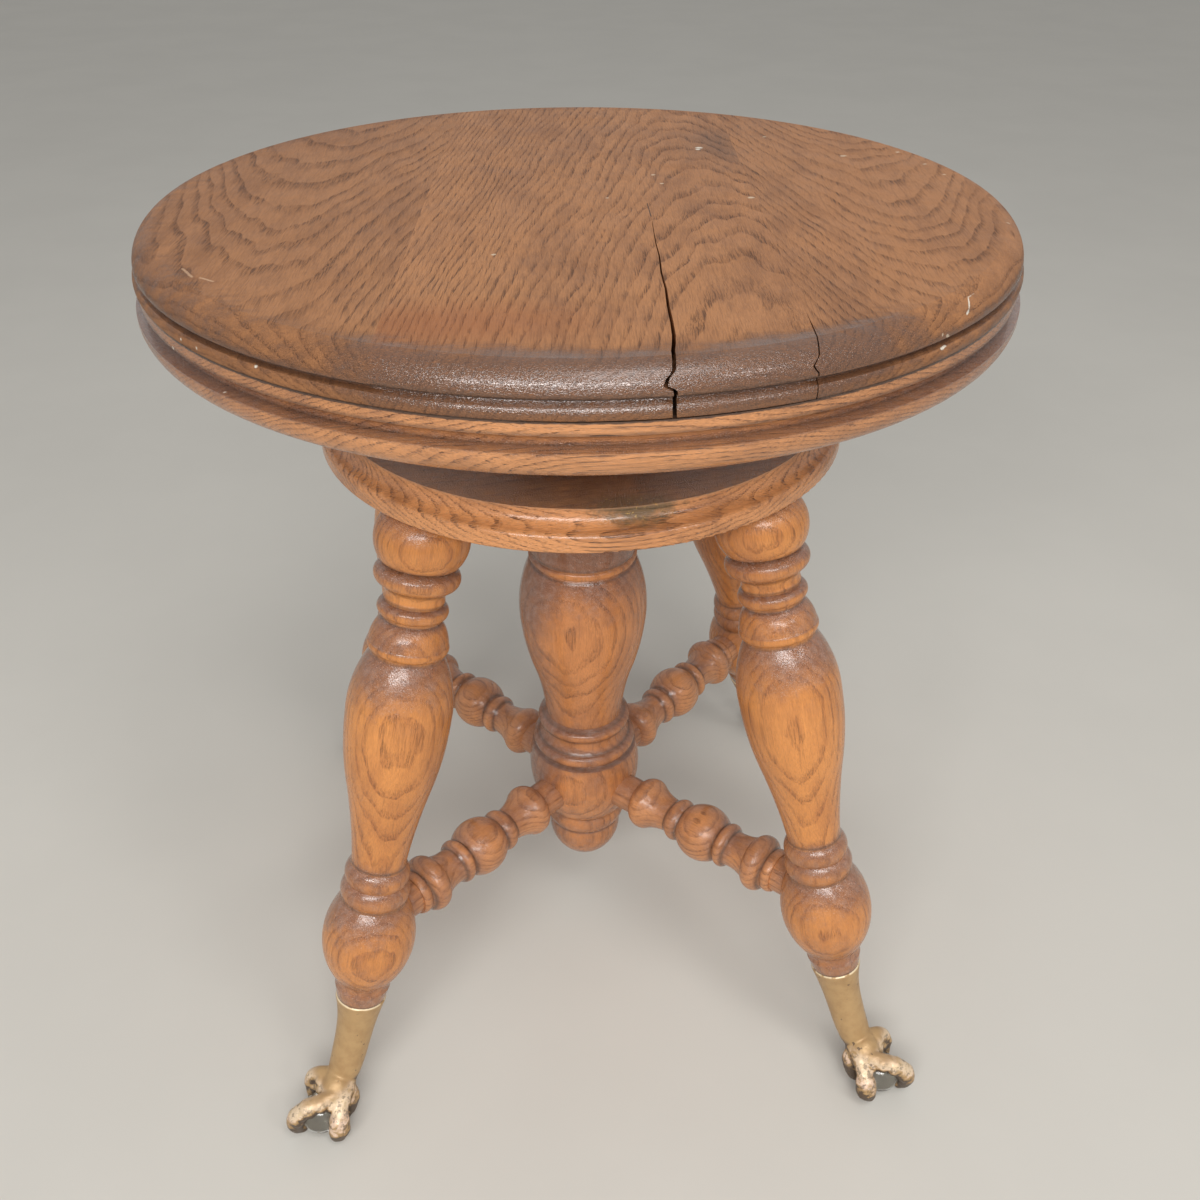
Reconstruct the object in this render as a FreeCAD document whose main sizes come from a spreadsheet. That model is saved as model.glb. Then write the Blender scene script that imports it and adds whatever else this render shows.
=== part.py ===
import FreeCAD, Part
import math
import os

import Sketcher

# Adjustable piano stool in turned oak: a round seat on an iron lifting screw,
# a base disc, four splayed legs on iron claw feet with glass balls, and four
# turned stretchers from the legs to a centre post.
# Frame: millimetres, +Z up, origin on the floor under the seat's centre.

SIZES = {
    # seat
    "seat_radius": 178.0,
    "top_board_thickness": 16.8,
    "top_board_foot_height": 4.8,
    "top_board_foot_inset": 0.6,
    "quirk_depth": 3.2,
    "quirk_slope": 0.5,
    "nosing_rise": 9.4,
    "nosing_run": 9.0,
    "under_board_thickness": 20.2,
    "under_band_height": 4.6,
    "under_cove_depth": 3.4,
    "under_cove_height": 3.4,
    "under_cove_lip": 0.6,
    "ovolo_height": 10.8,
    "ovolo_overhang": 1.4,
    "under_foot_inset": 6.4,
    "board_slant_angle": 3.8,
    "left_joint_offset": 63.0,
    "right_joint_offset": 72.6,
    # seat plate and its screws
    "plate_radius": 57.0,
    "plate_thickness": 4.5,
    "plate_bevel": 1.0,
    "boss_tip_radius": 17.0,
    "boss_root_radius": 19.5,
    "boss_cove_height": 6.0,
    "boss_cove_reach": 27.0,
    "boss_length": 38.7,
    "boss_floor": 7.5,
    "seat_rest_gap": 0.3,
    "plate_screw_circle": 46.0,
    # lifting screw and its nut
    "rod_radius": 11.0,
    "rod_tip_bevel": 2.0,
    "rod_end_gap": 0.5,
    "rod_drop": 175.5,
    "running_clearance": 0.05,
    "bore_clearance": 1.5,
    "nut_flange_radius": 37.0,
    "nut_flange_thickness": 4.5,
    "nut_flange_bevel": 1.0,
    "nut_barrel_radius": 15.5,
    "nut_barrel_length": 57.0,
    "nut_screw_circle": 30.0,
    "fit_clearance": 0.05,
    # wood screws
    "screw_shank_radius": 2.2,
    "screw_head_radius": 4.4,
    "screw_head_height": 2.6,
    "screw_length": 14.0,
    "screw_tip_height": 3.0,
    # base disc
    "disc_thickness": 15.5,
    "disc_radius": 117.4,
    "disc_foot_inset": 1.2,
    "disc_foot_height": 1.4,
    "disc_edge_height": 3.8,
    "disc_cove_drop": 7.0,
    "disc_cove_start": 2.6,
    "disc_cove_reach": 7.6,
    "disc_arris_height": 1.0,
    # centre post
    "post_tip": 39.6,
    "post_drop_height": 28.4,
    "post_drop_radius": 19.6,
    "post_drop_groove": 18.8,
    "post_drop_groove_height": 1.6,
    "post_drop_bead_foot": 19.8,
    "post_drop_bead_top": 21.6,
    "post_drop_bead_height": 11.2,
    "post_groove_radius": 21.0,
    "post_groove_height": 1.4,
    "post_ball_height": 40.6,
    "post_ball_foot_radius": 22.8,
    "post_ball_top_radius": 28.4,
    "post_ball_fillet": 1.6,
    "post_lower_ring_height": 6.6,
    "post_lower_ring_root": 26.0,
    "post_scotia_height": 8.4,
    "post_scotia_foot": 25.2,
    "post_upper_ring_height": 5.2,
    "post_upper_ring_root": 23.0,
    "post_neck_rise": 2.0,
    "post_neck_radius": 20.6,
    "post_waist_rise": 28.4,
    "post_waist_radius": 25.5,
    "post_vase_rise": 34.0,
    "post_vase_radius": 32.4,
    "post_shoulder_rise": 32.6,
    "post_shoulder_radius": 27.0,
    "post_bead_gap": 1.8,
    "post_bead_root": 25.7,
    "post_bead_height": 4.4,
    "post_collar_radius": 26.2,
    "post_tenon_radius": 24.0,
    "post_tenon_gap": 1.0,
    "post_bore_depth": 7.0,
    # legs, from the disc down
    "leg_reach": 95.7,
    "leg_splay_angle": 16.1,
    "first_leg_angle": 45.0,
    "leg_tenon_radius": 12.0,
    "leg_tenon_depth": 11.0,
    "leg_collar_length": 5.0,
    "leg_ball_length": 23.2,
    "leg_ball_start_radius": 14.7,
    "leg_ball_end_radius": 16.9,
    "leg_ball_groove": 1.4,
    "leg_ring_a_length": 9.2,
    "leg_ring_a_root": 15.2,
    "leg_cove_a_length": 5.9,
    "leg_cove_a_radius": 13.2,
    "leg_cove_a_step": 1.5,
    "leg_ring_b_length": 6.8,
    "leg_ring_b_root": 12.9,
    "leg_cove_b_length": 1.2,
    "leg_cove_b_radius": 12.8,
    "leg_cove_b_step": 1.0,
    "leg_ring_c_length": 14.0,
    "leg_ring_c_root": 16.2,
    "leg_ring_c_edge": 4.6,
    "leg_ring_c_edge_radius": 17.3,
    "leg_ring_c_top_radius": 13.6,
    "leg_ring_c_groove": 1.6,
    "leg_vase_shoulder": 30.2,
    "leg_vase_start_radius": 16.2,
    "leg_vase_radius": 23.4,
    "leg_vase_body": 37.0,
    "leg_vase_mid_radius": 19.0,
    "leg_vase_tail": 39.0,
    "leg_neck_radius": 12.7,
    "leg_neck_step": 2.6,
    "leg_ring_d_length": 9.2,
    "leg_ring_d_top_root": 13.2,
    "leg_ring_d_root": 14.2,
    "leg_ring_e_length": 9.4,
    "leg_ring_e_root": 15.2,
    "leg_bulb_groove": 1.2,
    "leg_bulb_length": 43.6,
    "leg_bulb_start_radius": 15.4,
    "leg_bulb_end_radius": 15.0,
    "leg_ankle_drop": 7.0,
    "leg_ankle_radius": 13.3,
    "leg_end_band": 7.0,
    "leg_end_radius": 11.8,
    "foot_tenon_root_radius": 8.6,
    "foot_tenon_tip_radius": 6.0,
    "foot_tenon_length": 18.0,
    # stretchers, from the post out to the knob and from the leg in to the taper
    "hub_rise": 17.6,
    "stretcher_rise_angle": 3.2,
    "stretcher_tenon_radius": 9.5,
    "stretcher_start": 15.0,
    "stretcher_tenon_stop": 8.0,
    "bell_start": 40.0,
    "bell_shoulder_radius": 10.6,
    "bell_shoulder_length": 0.6,
    "bell_body_length": 8.8,
    "bell_waist_start_radius": 13.2,
    "bell_waist_length": 13.2,
    "bell_end_radius": 9.0,
    "inner_ring_gap": 2.0,
    "inner_ring_length": 5.8,
    "stretcher_ring_root": 10.2,
    "stretcher_groove_radius": 9.7,
    "knob_groove": 2.2,
    "knob_length": 21.2,
    "knob_root": 10.8,
    "outer_ring_groove": 1.8,
    "outer_ring_length": 5.2,
    "taper_gap": 1.0,
    "taper_start_radius": 9.4,
    "taper_end_radius": 11.6,
    "flare_length": 9.8,
    "flare_end_radius": 11.8,
    "tail_ring_groove": 1.2,
    "tail_ring_length": 5.2,
    "tail_ring_root": 10.3,
    "tail_ring_setback": 26.2,
    # claw feet and glass balls
    "ball_radius": 10.0,
    "ball_throw": 15.51,
    "heel_rise": 14.862,
    "ball_clearance": 0.05,
    "ferrule_rim_radius": 12.3,
    "ferrule_lip": 0.8,
    "ferrule_first_step": 12.2,
    "ferrule_first_radius": 9.9,
    "ferrule_second_step": 16.0,
    "ferrule_second_radius": 8.7,
    "ferrule_third_step": 15.0,
    "ferrule_third_radius": 8.0,
    "ferrule_last_step": 4.5,
    "ferrule_last_radius": 7.5,
    "heel_height": 3.4,
    "heel_radius": 5.4,
    "palm_radius": 8.5,
    # cutting
    "overrun": 5.0,
}

# Shares: the bulge of an arc is its height over its chord, outward when positive.
BEAD_SHARE = 0.30
FULL_BEAD_SHARE = 0.36
SLIM_BEAD_SHARE = 0.20
FILLET_SHARE = 0.16
COVE_SHARE = -0.16
NOSING_SHARE = 0.17
OVOLO_SHARE = 0.20
VASE_TOP_SHARE = 0.07
VASE_SHARE = 0.03
NECK_SHARE = -0.015
LEG_BALL_SHARE = 0.19
DOME_SHARE = 0.07
BULB_SHARE = 0.155
POST_BALL_SHARE = 0.10
POST_DROP_SHARE = 0.20
BELL_SHARE = 0.20
WAIST_SHARE = -0.07
KNOB_SHARE = 0.19

LEG_COUNT = 4
PLATE_SCREW_COUNT = 4
NUT_SCREW_COUNT = 3
FULL_TURN = 360.0
HALF_TURN = 180.0
QUARTER_TURN = 90.0

# The ferrule bends outward in four steps, as degrees past the leg's own splay.
FERRULE_STEP_TURNS = (2.0, 5.5, 9.0, 14.0)
FERRULE_FACE_TURNS = (3.5, 7.0, 11.0, 18.0)

# Claws: each row is a direction from the ball's centre (degrees round from the
# outward side towards the stool's front, degrees above the equator), then the
# distance and the toe's half thickness as shares of the ball's radius.
OUTER_CLAW_SHARES = (
    (178.0, 48.0, 1.80, 0.52),
    (118.0, 66.0, 1.47, 0.44),
    (30.0, 71.0, 1.38, 0.42),
    (-12.0, 36.0, 1.38, 0.46),
    (-21.0, 4.0, 1.34, 0.42),
    (-25.0, -20.0, 1.28, 0.35),
    (-26.0, -40.0, 1.18, 0.20),
)
FRONT_CLAW_SHARES = (
    (176.0, 48.0, 1.76, 0.54),
    (136.0, 42.0, 1.53, 0.47),
    (106.0, 33.0, 1.42, 0.41),
    (91.0, 10.0, 1.41, 0.50),
    (86.0, -14.0, 1.34, 0.43),
    (84.0, -30.0, 1.26, 0.33),
    (83.0, -42.0, 1.18, 0.19),
)
BACK_CLAW_SHARES = (
    (178.0, 50.0, 1.78, 0.52),
    (-150.0, 54.0, 1.84, 0.43),
    (-125.0, 44.0, 1.78, 0.40),
    (-114.0, 22.0, 1.56, 0.42),
    (-112.0, -4.0, 1.34, 0.36),
    (-111.0, -26.0, 1.25, 0.32),
    (-110.0, -41.0, 1.17, 0.19),
)
INNER_CLAW_SHARES = (
    (178.0, 46.0, 1.80, 0.52),
    (160.0, 32.0, 1.71, 0.44),
    (152.0, 12.0, 1.52, 0.43),
    (150.0, -12.0, 1.33, 0.36),
    (149.0, -29.0, 1.25, 0.31),
    (149.0, -41.0, 1.17, 0.19),
)
CLAW_SHARES = {
    "outer": OUTER_CLAW_SHARES,
    "front": FRONT_CLAW_SHARES,
    "back": BACK_CLAW_SHARES,
    "inner": INNER_CLAW_SHARES,
}
# The palm's centre from the ball's: inward, towards the stool's front, and up
PALM_PLACE_SHARES = (0.95, -0.15, 0.90)

document = FreeCAD.newDocument("piano_stool")
sheet = document.addObject("Spreadsheet::Sheet", "sizes")


class Size:
    """A number of the stool and the cell formula that gives it."""

    def __init__(self, number, formula):
        self.number = number
        self.formula = formula

    def combined(self, other, sign, number):
        return Size(number, "(%s %s %s)" % (self.formula, sign, formula_of(other)))

    def __add__(self, other):
        return self.combined(other, "+", self.number + number_of(other))

    def __sub__(self, other):
        return self.combined(other, "-", self.number - number_of(other))

    def __mul__(self, other):
        return self.combined(other, "*", self.number * number_of(other))

    def __truediv__(self, other):
        return self.combined(other, "/", self.number / number_of(other))


def number_of(value):
    return value.number if isinstance(value, Size) else value


def formula_of(value):
    return value.formula if isinstance(value, Size) else repr(float(value))


def sine(angle):
    return Size(math.sin(math.radians(angle.number)), "sin(%s)" % angle.formula)


def cosine(angle):
    return Size(math.cos(math.radians(angle.number)), "cos(%s)" % angle.formula)


class Names:
    """The sheet's sizes by name."""


def fill_sheet():
    sizes = Names()
    for row, (name, number) in enumerate(SIZES.items(), start=1):
        sheet.set("A%d" % row, name.replace("_", " "))
        sheet.set("B%d" % row, str(number))
        sheet.setAlias("B%d" % row, name)
        setattr(sizes, name, Size(number, "sizes." + name))
    document.recompute()
    return sizes


size = fill_sheet()
ZERO = Size(0.0, "0")


def bind(target, name, value):
    target.setExpression(name, formula_of(value))


# Placements, written as the sheet's formulas

def spot(x, y, z, axis="vector(0; 0; 1)", angle=ZERO):
    base = "vector(%s; %s; %s)" % (formula_of(x), formula_of(y), formula_of(z))
    return "placement(%s; rotation(%s; %s))" % (base, axis, formula_of(angle))


def turned_about_axis(angle):
    return spot(ZERO, ZERO, ZERO, "vector(0; 0; 1)", angle)


def tipped(x, z, angle):
    return spot(x, ZERO, z, "vector(0; 1; 0)", angle)


# Sketches and features

def origin_plane(body, role):
    for feature in body.Origin.OriginFeatures:
        if feature.Role == role:
            return feature
    raise RuntimeError("no %s in %s" % (role, body.Name))


def new_body(name):
    body = document.addObject("PartDesign::Body", name)
    body.Label = name
    return body


def new_sketch(body, name, role, offset=None):
    sketch = body.newObject("Sketcher::SketchObject", name)
    sketch.AttachmentSupport = (origin_plane(body, role), [""])
    sketch.MapMode = "FlatFace"
    if offset:
        sketch.setExpression("AttachmentOffset", offset)
    return sketch


def hold(sketch, kind, geometry, point, value):
    """Fix one coordinate of a point from the sketch's origin."""
    along_axis = kind == "DistanceX"
    if value is ZERO:
        line = -2 if along_axis else -1
        sketch.addConstraint(Sketcher.Constraint("PointOnObject", geometry, point, line))
        return
    constraint = Sketcher.Constraint(kind, -1, 1, geometry, point, value.number)
    index = sketch.addConstraint(constraint)
    bind(sketch, "Constraints[%d]" % index, value)


def draw_outline(sketch, outline):
    """Draw a closed outline of (x, y, bulge) rows, each bulge on the way to the next."""
    ends = []
    for place, (x, y, bulge) in enumerate(outline):
        next_x, next_y, _ = outline[(place + 1) % len(outline)]
        start = FreeCAD.Vector(x.number, y.number, 0)
        finish = FreeCAD.Vector(next_x.number, next_y.number, 0)
        if bulge:
            chord = finish - start
            outward = FreeCAD.Vector(chord.y, -chord.x, 0)
            middle = (start + finish) * 0.5 + outward * bulge
            arc = Part.Arc(start, middle, finish) if bulge > 0 else Part.Arc(finish, middle, start)
            geometry = sketch.addGeometry(arc, False)
            ends.append((1, 2) if bulge > 0 else (2, 1))
            middle_share = bulge - (0.25 + bulge * bulge) / (2 * bulge)
            if abs(chord.y) >= abs(chord.x):
                centre = (x + next_x) * 0.5 + (next_y - y) * middle_share
                hold(sketch, "DistanceX", geometry, 3, centre)
            else:
                centre = (y + next_y) * 0.5 - (next_x - x) * middle_share
                hold(sketch, "DistanceY", geometry, 3, centre)
        else:
            sketch.addGeometry(Part.LineSegment(start, finish), False)
            ends.append((1, 2))
    for place, (x, y, _) in enumerate(outline):
        following = (place + 1) % len(outline)
        joint = Sketcher.Constraint(
            "Coincident", place, ends[place][1], following, ends[following][0])
        sketch.addConstraint(joint)
        hold(sketch, "DistanceX", place, ends[place][0], x)
        hold(sketch, "DistanceY", place, ends[place][0], y)


def draw_circle(sketch, radius, x=ZERO):
    centre = FreeCAD.Vector(x.number, 0, 0)
    circle = Part.Circle(centre, FreeCAD.Vector(0, 0, 1), radius.number)
    geometry = sketch.addGeometry(circle, False)
    hold(sketch, "DistanceX", geometry, 3, x)
    hold(sketch, "DistanceY", geometry, 3, ZERO)
    index = sketch.addConstraint(Sketcher.Constraint("Radius", geometry, radius.number))
    bind(sketch, "Constraints[%d]" % index, radius)


def turned(name, outline):
    """A body turned about its own Z axis from an outline of radius and height."""
    body = new_body(name)
    sketch = new_sketch(body, name + "_outline", "XZ_Plane")
    draw_outline(sketch, outline)
    turning = body.newObject("PartDesign::Revolution", name + "_turning")
    turning.Profile = sketch
    turning.ReferenceAxis = (sketch, ["V_Axis"])
    turning.Angle = FULL_TURN
    return body


def drilled(body, name, radius, depth, offset, x=ZERO):
    """A round hole, drilled against the normal of the sketch plane at offset."""
    sketch = new_sketch(body, name + "_sketch", "XY_Plane", offset)
    draw_circle(sketch, radius, x)
    hole = body.newObject("PartDesign::Pocket", name)
    hole.Profile = sketch
    bind(hole, "Length", depth)
    return hole


def countersunk(body, name, offset, x):
    """The cone of a countersunk screw head, turned beside the body's axis."""
    sketch = new_sketch(body, name + "_sketch", "XZ_Plane")
    shank = size.screw_shank_radius + size.fit_clearance
    head = size.screw_head_radius + size.fit_clearance
    face, sink = offset
    draw_outline(sketch, [
        (x, face, 0),
        (x + head, face, 0),
        (x + shank, sink, 0),
        (x, sink, 0),
    ])
    cone = body.newObject("PartDesign::Groove", name)
    cone.Profile = sketch
    cone.ReferenceAxis = (sketch, ["Edge4"])
    cone.Angle = FULL_TURN
    return cone


def patterned(body, name, features, count):
    pattern = body.newObject("PartDesign::PolarPattern", name)
    pattern.Originals = features
    pattern.Axis = (origin_plane(body, "Z_Axis"), [""])
    pattern.Angle = FULL_TURN
    pattern.Occurrences = count
    body.Tip = pattern
    return pattern


def copies(master, name, places, first=1):
    """Copies of one master piece, each its own sub-part at its place."""
    made = []
    for number, place in enumerate(places, start=first):
        label = "%s_%d" % (name, number)
        copy = document.addObject("Part::Compound", label)
        copy.Label = label
        copy.Links = [master]
        copy.setExpression("Placement", place)
        made.append(copy)
    return made


def group(name, members):
    gathered = document.addObject("Part::Compound", name)
    gathered.Label = name
    gathered.Links = members
    return gathered


def quarter_turns():
    """The azimuth of each leg, from the first."""
    for number in range(LEG_COUNT):
        yield size.first_leg_angle + number * FULL_TURN / LEG_COUNT


# Levels and places shared between pieces

FERRULE_STEPS = (
    (size.ferrule_first_step, size.ferrule_first_radius),
    (size.ferrule_second_step, size.ferrule_second_radius),
    (size.ferrule_third_step, size.ferrule_third_radius),
    (size.ferrule_last_step, size.ferrule_last_radius),
)


def ferrule_rows():
    """Radius, distance out, drop below the disc and tilt of each ferrule section."""
    start = leg_end_station + size.ferrule_lip
    reach = size.leg_reach + sine(size.leg_splay_angle) * start
    drop = cosine(size.leg_splay_angle) * start
    rows = [(size.ferrule_rim_radius, reach, drop, leg_turn)]
    for (step, radius), turn, face in zip(FERRULE_STEPS, FERRULE_STEP_TURNS, FERRULE_FACE_TURNS):
        lean = size.leg_splay_angle + turn
        reach = reach + sine(lean) * step
        drop = drop + cosine(lean) * step
        rows.append((radius, reach, drop, leg_turn - face))
    return rows


leg_turn = Size(HALF_TURN, "180") - size.leg_splay_angle
leg_ball_end = size.leg_collar_length + size.leg_ball_length
ring_a_start = leg_ball_end + size.leg_ball_groove
ring_a_end = ring_a_start + size.leg_ring_a_length
cove_a_end = ring_a_end + size.leg_cove_a_length
ring_b_start = cove_a_end + size.leg_cove_a_step
ring_b_end = ring_b_start + size.leg_ring_b_length
cove_b_end = ring_b_end + size.leg_cove_b_length
ring_c_start = cove_b_end + size.leg_cove_b_step
ring_c_end = ring_c_start + size.leg_ring_c_length
ring_c_edge = ring_c_end - size.leg_ring_c_edge
vase_start = ring_c_end + size.leg_ring_c_groove
vase_full = vase_start + size.leg_vase_shoulder
vase_mid = vase_full + size.leg_vase_body
neck_station = vase_mid + size.leg_vase_tail
ring_d_start = neck_station + size.leg_neck_step
ring_d_end = ring_d_start + size.leg_ring_d_length
ring_e_end = ring_d_end + size.leg_ring_e_length
bulb_start = ring_e_end + size.leg_bulb_groove
bulb_end = bulb_start + size.leg_bulb_length
ankle_station = bulb_end + size.leg_ankle_drop
leg_end_station = ankle_station + size.leg_end_band

# The stool's levels stand on the glass balls: ball, foot, leg, disc, nut, boss and seat
ferrule_sizes = ferrule_rows()
ball_reach = ferrule_sizes[-1][1] + size.ball_throw
disc_underside = size.ball_radius + size.heel_rise + ferrule_sizes[-1][2]
disc_top = disc_underside + size.disc_thickness
nut_top = disc_top + size.nut_flange_thickness
boss_tip = nut_top + size.seat_rest_gap
plate_face = boss_tip + size.boss_length
seat_underside = plate_face + size.plate_thickness
seat_joint = seat_underside + size.under_board_thickness
seat_top = seat_joint + size.top_board_thickness
rod_bore = size.rod_radius + size.running_clearance
rod_top = seat_underside - size.boss_floor - size.rod_end_gap
rod_foot = nut_top - size.rod_drop
stretcher_turn = Size(QUARTER_TURN, "90") - size.stretcher_rise_angle
leg_place = tipped(size.leg_reach, disc_underside, leg_turn)
post_ball_foot = (
    size.post_tip + size.post_drop_height + size.post_drop_groove_height
    + size.post_drop_bead_height + size.post_groove_height)
hub_height = post_ball_foot + size.hub_rise
stretcher_place = tipped(ZERO, hub_height, stretcher_turn)

# Where a stretcher's axis meets its leg's axis: down the leg, and out along the stretcher
rise_slope = sine(size.stretcher_rise_angle) / cosine(size.stretcher_rise_angle)
crossing_drop = disc_underside - hub_height - size.leg_reach * rise_slope
leg_crossing = crossing_drop / (
    cosine(size.leg_splay_angle) + sine(size.leg_splay_angle) * rise_slope)
stretcher_crossing = (
    size.leg_reach + leg_crossing * sine(size.leg_splay_angle)) / cosine(size.stretcher_rise_angle)
stretcher_end = stretcher_crossing - size.stretcher_tenon_stop
mortise_radius = size.stretcher_tenon_radius + size.fit_clearance


# Seat boards

def seat_board_outline():
    foot = size.seat_radius - size.top_board_foot_inset
    quirk = size.seat_radius - size.quirk_depth
    foot_top = seat_joint + size.top_board_foot_height
    nosing_foot = seat_top - size.nosing_rise
    return [
        (ZERO, seat_joint, 0),
        (foot, seat_joint, SLIM_BEAD_SHARE),
        (foot, foot_top, 0),
        (quirk, foot_top + size.quirk_slope, 0),
        (quirk, nosing_foot - size.quirk_slope, 0),
        (foot, nosing_foot, NOSING_SHARE),
        (size.seat_radius - size.nosing_run, seat_top, 0),
        (ZERO, seat_top, 0),
    ]


def saw_away(body, name, near, far):
    """Saw the turned seat away between two distances across its boards."""
    slant = spot(ZERO, ZERO, seat_top + size.overrun, angle=ZERO - size.board_slant_angle)
    sketch = new_sketch(body, name + "_sketch", "XY_Plane", slant)
    side = size.seat_radius + size.overrun
    back = ZERO - side
    draw_outline(sketch, [(near, back, 0), (far, back, 0), (far, side, 0), (near, side, 0)])
    cut = body.newObject("PartDesign::Pocket", name)
    cut.Profile = sketch
    bind(cut, "Length", size.top_board_thickness + size.overrun * 2)


def make_seat_boards():
    left = ZERO - size.left_joint_offset
    right = size.right_joint_offset
    clear = size.seat_radius + size.overrun
    boards = []
    for name, cuts in (
        ("seat_board_left", ((left, clear),)),
        ("seat_board_centre", ((ZERO - clear, left), (right, clear))),
        ("seat_board_right", ((ZERO - clear, right),)),
    ):
        body = turned(name, seat_board_outline())
        for number, (near, far) in enumerate(cuts, start=1):
            saw_away(body, "%s_saw_%d" % (name, number), near, far)
        boards.append(body)
    return boards


def make_under_board():
    band = size.seat_radius - size.top_board_foot_inset
    band_foot = seat_joint - size.under_band_height
    cove = size.seat_radius - size.under_cove_depth
    cove_foot = band_foot - size.under_cove_height
    ovolo_top = seat_underside + size.ovolo_height
    outline = [
        (ZERO, seat_underside, 0),
        (size.seat_radius - size.under_foot_inset, seat_underside, OVOLO_SHARE),
        (size.seat_radius + size.ovolo_overhang, ovolo_top, 0),
        (cove, ovolo_top + size.under_cove_lip, 0),
        (cove, cove_foot, COVE_SHARE),
        (band, band_foot, 0),
        (band, seat_joint, 0),
        (ZERO, seat_joint, 0),
    ]
    body = turned("seat_under_board", outline)
    pilot = drilled(
        body, "plate_screw_pilot", size.screw_shank_radius + size.fit_clearance,
        size.screw_length, spot(ZERO, ZERO, seat_underside, "vector(1; 0; 0)",
                                Size(HALF_TURN, "180")), size.plate_screw_circle)
    patterned(body, "plate_screw_pilots", [pilot], PLATE_SCREW_COUNT)
    return body


# Seat plate, lifting screw and nut

def make_seat_plate():
    outline = [
        (rod_bore, boss_tip, 0),
        (size.boss_tip_radius, boss_tip, 0),
        (size.boss_root_radius, plate_face - size.boss_cove_height, COVE_SHARE),
        (size.boss_cove_reach, plate_face, 0),
        (size.plate_radius - size.plate_bevel, plate_face, 0),
        (size.plate_radius, plate_face + size.plate_bevel, 0),
        (size.plate_radius, seat_underside, 0),
        (ZERO, seat_underside, 0),
        (ZERO, seat_underside - size.boss_floor, 0),
        (rod_bore, seat_underside - size.boss_floor, 0),
    ]
    body = turned("seat_plate", outline)
    face = plate_face
    hole = drilled(
        body, "plate_screw_hole", size.screw_shank_radius + size.fit_clearance,
        size.plate_thickness + size.overrun * 2,
        spot(ZERO, ZERO, face - size.overrun, "vector(1; 0; 0)", Size(HALF_TURN, "180")),
        size.plate_screw_circle)
    sink = countersunk(body, "plate_screw_sink", (face, face + size.screw_head_height),
                       size.plate_screw_circle)
    patterned(body, "plate_screw_holes", [hole, sink], PLATE_SCREW_COUNT)
    return body


def make_lift_screw():
    return turned("lift_screw", [
        (ZERO, rod_foot, 0),
        (size.rod_radius - size.rod_tip_bevel, rod_foot, 0),
        (size.rod_radius, rod_foot + size.rod_tip_bevel, 0),
        (size.rod_radius, rod_top, 0),
        (ZERO, rod_top, 0),
    ])


def make_nut():
    barrel_foot = disc_top - size.nut_barrel_length
    outline = [
        (rod_bore, barrel_foot, 0),
        (size.nut_barrel_radius, barrel_foot, 0),
        (size.nut_barrel_radius, disc_top, 0),
        (size.nut_flange_radius, disc_top, 0),
        (size.nut_flange_radius, nut_top - size.nut_flange_bevel, 0),
        (size.nut_flange_radius - size.nut_flange_bevel, nut_top, 0),
        (rod_bore, nut_top, 0),
    ]
    body = turned("screw_nut", outline)
    hole = drilled(
        body, "nut_screw_hole", size.screw_shank_radius + size.fit_clearance,
        size.nut_flange_thickness + size.overrun * 2,
        spot(ZERO, ZERO, nut_top + size.overrun), size.nut_screw_circle)
    sink = countersunk(body, "nut_screw_sink", (nut_top, nut_top - size.screw_head_height),
                       size.nut_screw_circle)
    patterned(body, "nut_screw_holes", [hole, sink], NUT_SCREW_COUNT)
    return body


def make_screw_master():
    """One wood screw, head up, with the top of its head at height zero."""
    tip = ZERO - size.screw_length
    return turned("wood_screw_master", [
        (ZERO, tip, 0),
        (size.screw_shank_radius, tip + size.screw_tip_height, 0),
        (size.screw_shank_radius, ZERO - size.screw_head_height, 0),
        (size.screw_head_radius, ZERO, 0),
        (ZERO, ZERO, 0),
    ])


def make_screws(master, name, count, circle, height, pointing_up):
    places = []
    for number in range(count):
        angle = ZERO + number * FULL_TURN / count
        flip = Size(HALF_TURN, "180") if pointing_up else ZERO
        stand = spot(circle, ZERO, height, "vector(1; 0; 0)", flip)
        places.append(turned_about_axis(angle) + " * " + stand)
    return group(name, copies(master, name, places))


# Base disc and centre post

def make_base_disc():
    bore = size.post_tenon_radius + size.fit_clearance
    foot = size.disc_radius - size.disc_foot_inset
    edge_low = disc_underside + size.disc_foot_height
    edge_high = edge_low + size.disc_edge_height
    cove_edge = size.disc_radius - size.disc_cove_start
    arris = size.disc_radius - size.disc_cove_reach
    outline = [
        (bore, disc_underside, 0),
        (foot, disc_underside, SLIM_BEAD_SHARE),
        (size.disc_radius, edge_low, 0),
        (size.disc_radius, edge_high, SLIM_BEAD_SHARE),
        (cove_edge, disc_top - size.disc_cove_drop, COVE_SHARE),
        (arris, disc_top - size.disc_arris_height, 0),
        (arris, disc_top, 0),
        (bore, disc_top, 0),
    ]
    body = turned("base_disc", outline)
    first = turned_about_axis(size.first_leg_angle)
    socket = drilled(
        body, "leg_socket", size.leg_tenon_radius + size.fit_clearance,
        size.leg_tenon_depth + size.overrun,
        first + " * " + leg_place + " * " + spot(ZERO, ZERO, size.overrun))
    patterned(body, "leg_sockets", [socket], LEG_COUNT)
    pilot = drilled(
        body, "nut_screw_pilot", size.screw_shank_radius + size.fit_clearance,
        size.screw_length - size.nut_flange_thickness,
        spot(ZERO, ZERO, disc_top), size.nut_screw_circle)
    patterned(body, "nut_screw_pilots", [pilot], NUT_SCREW_COUNT)
    return body


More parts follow.
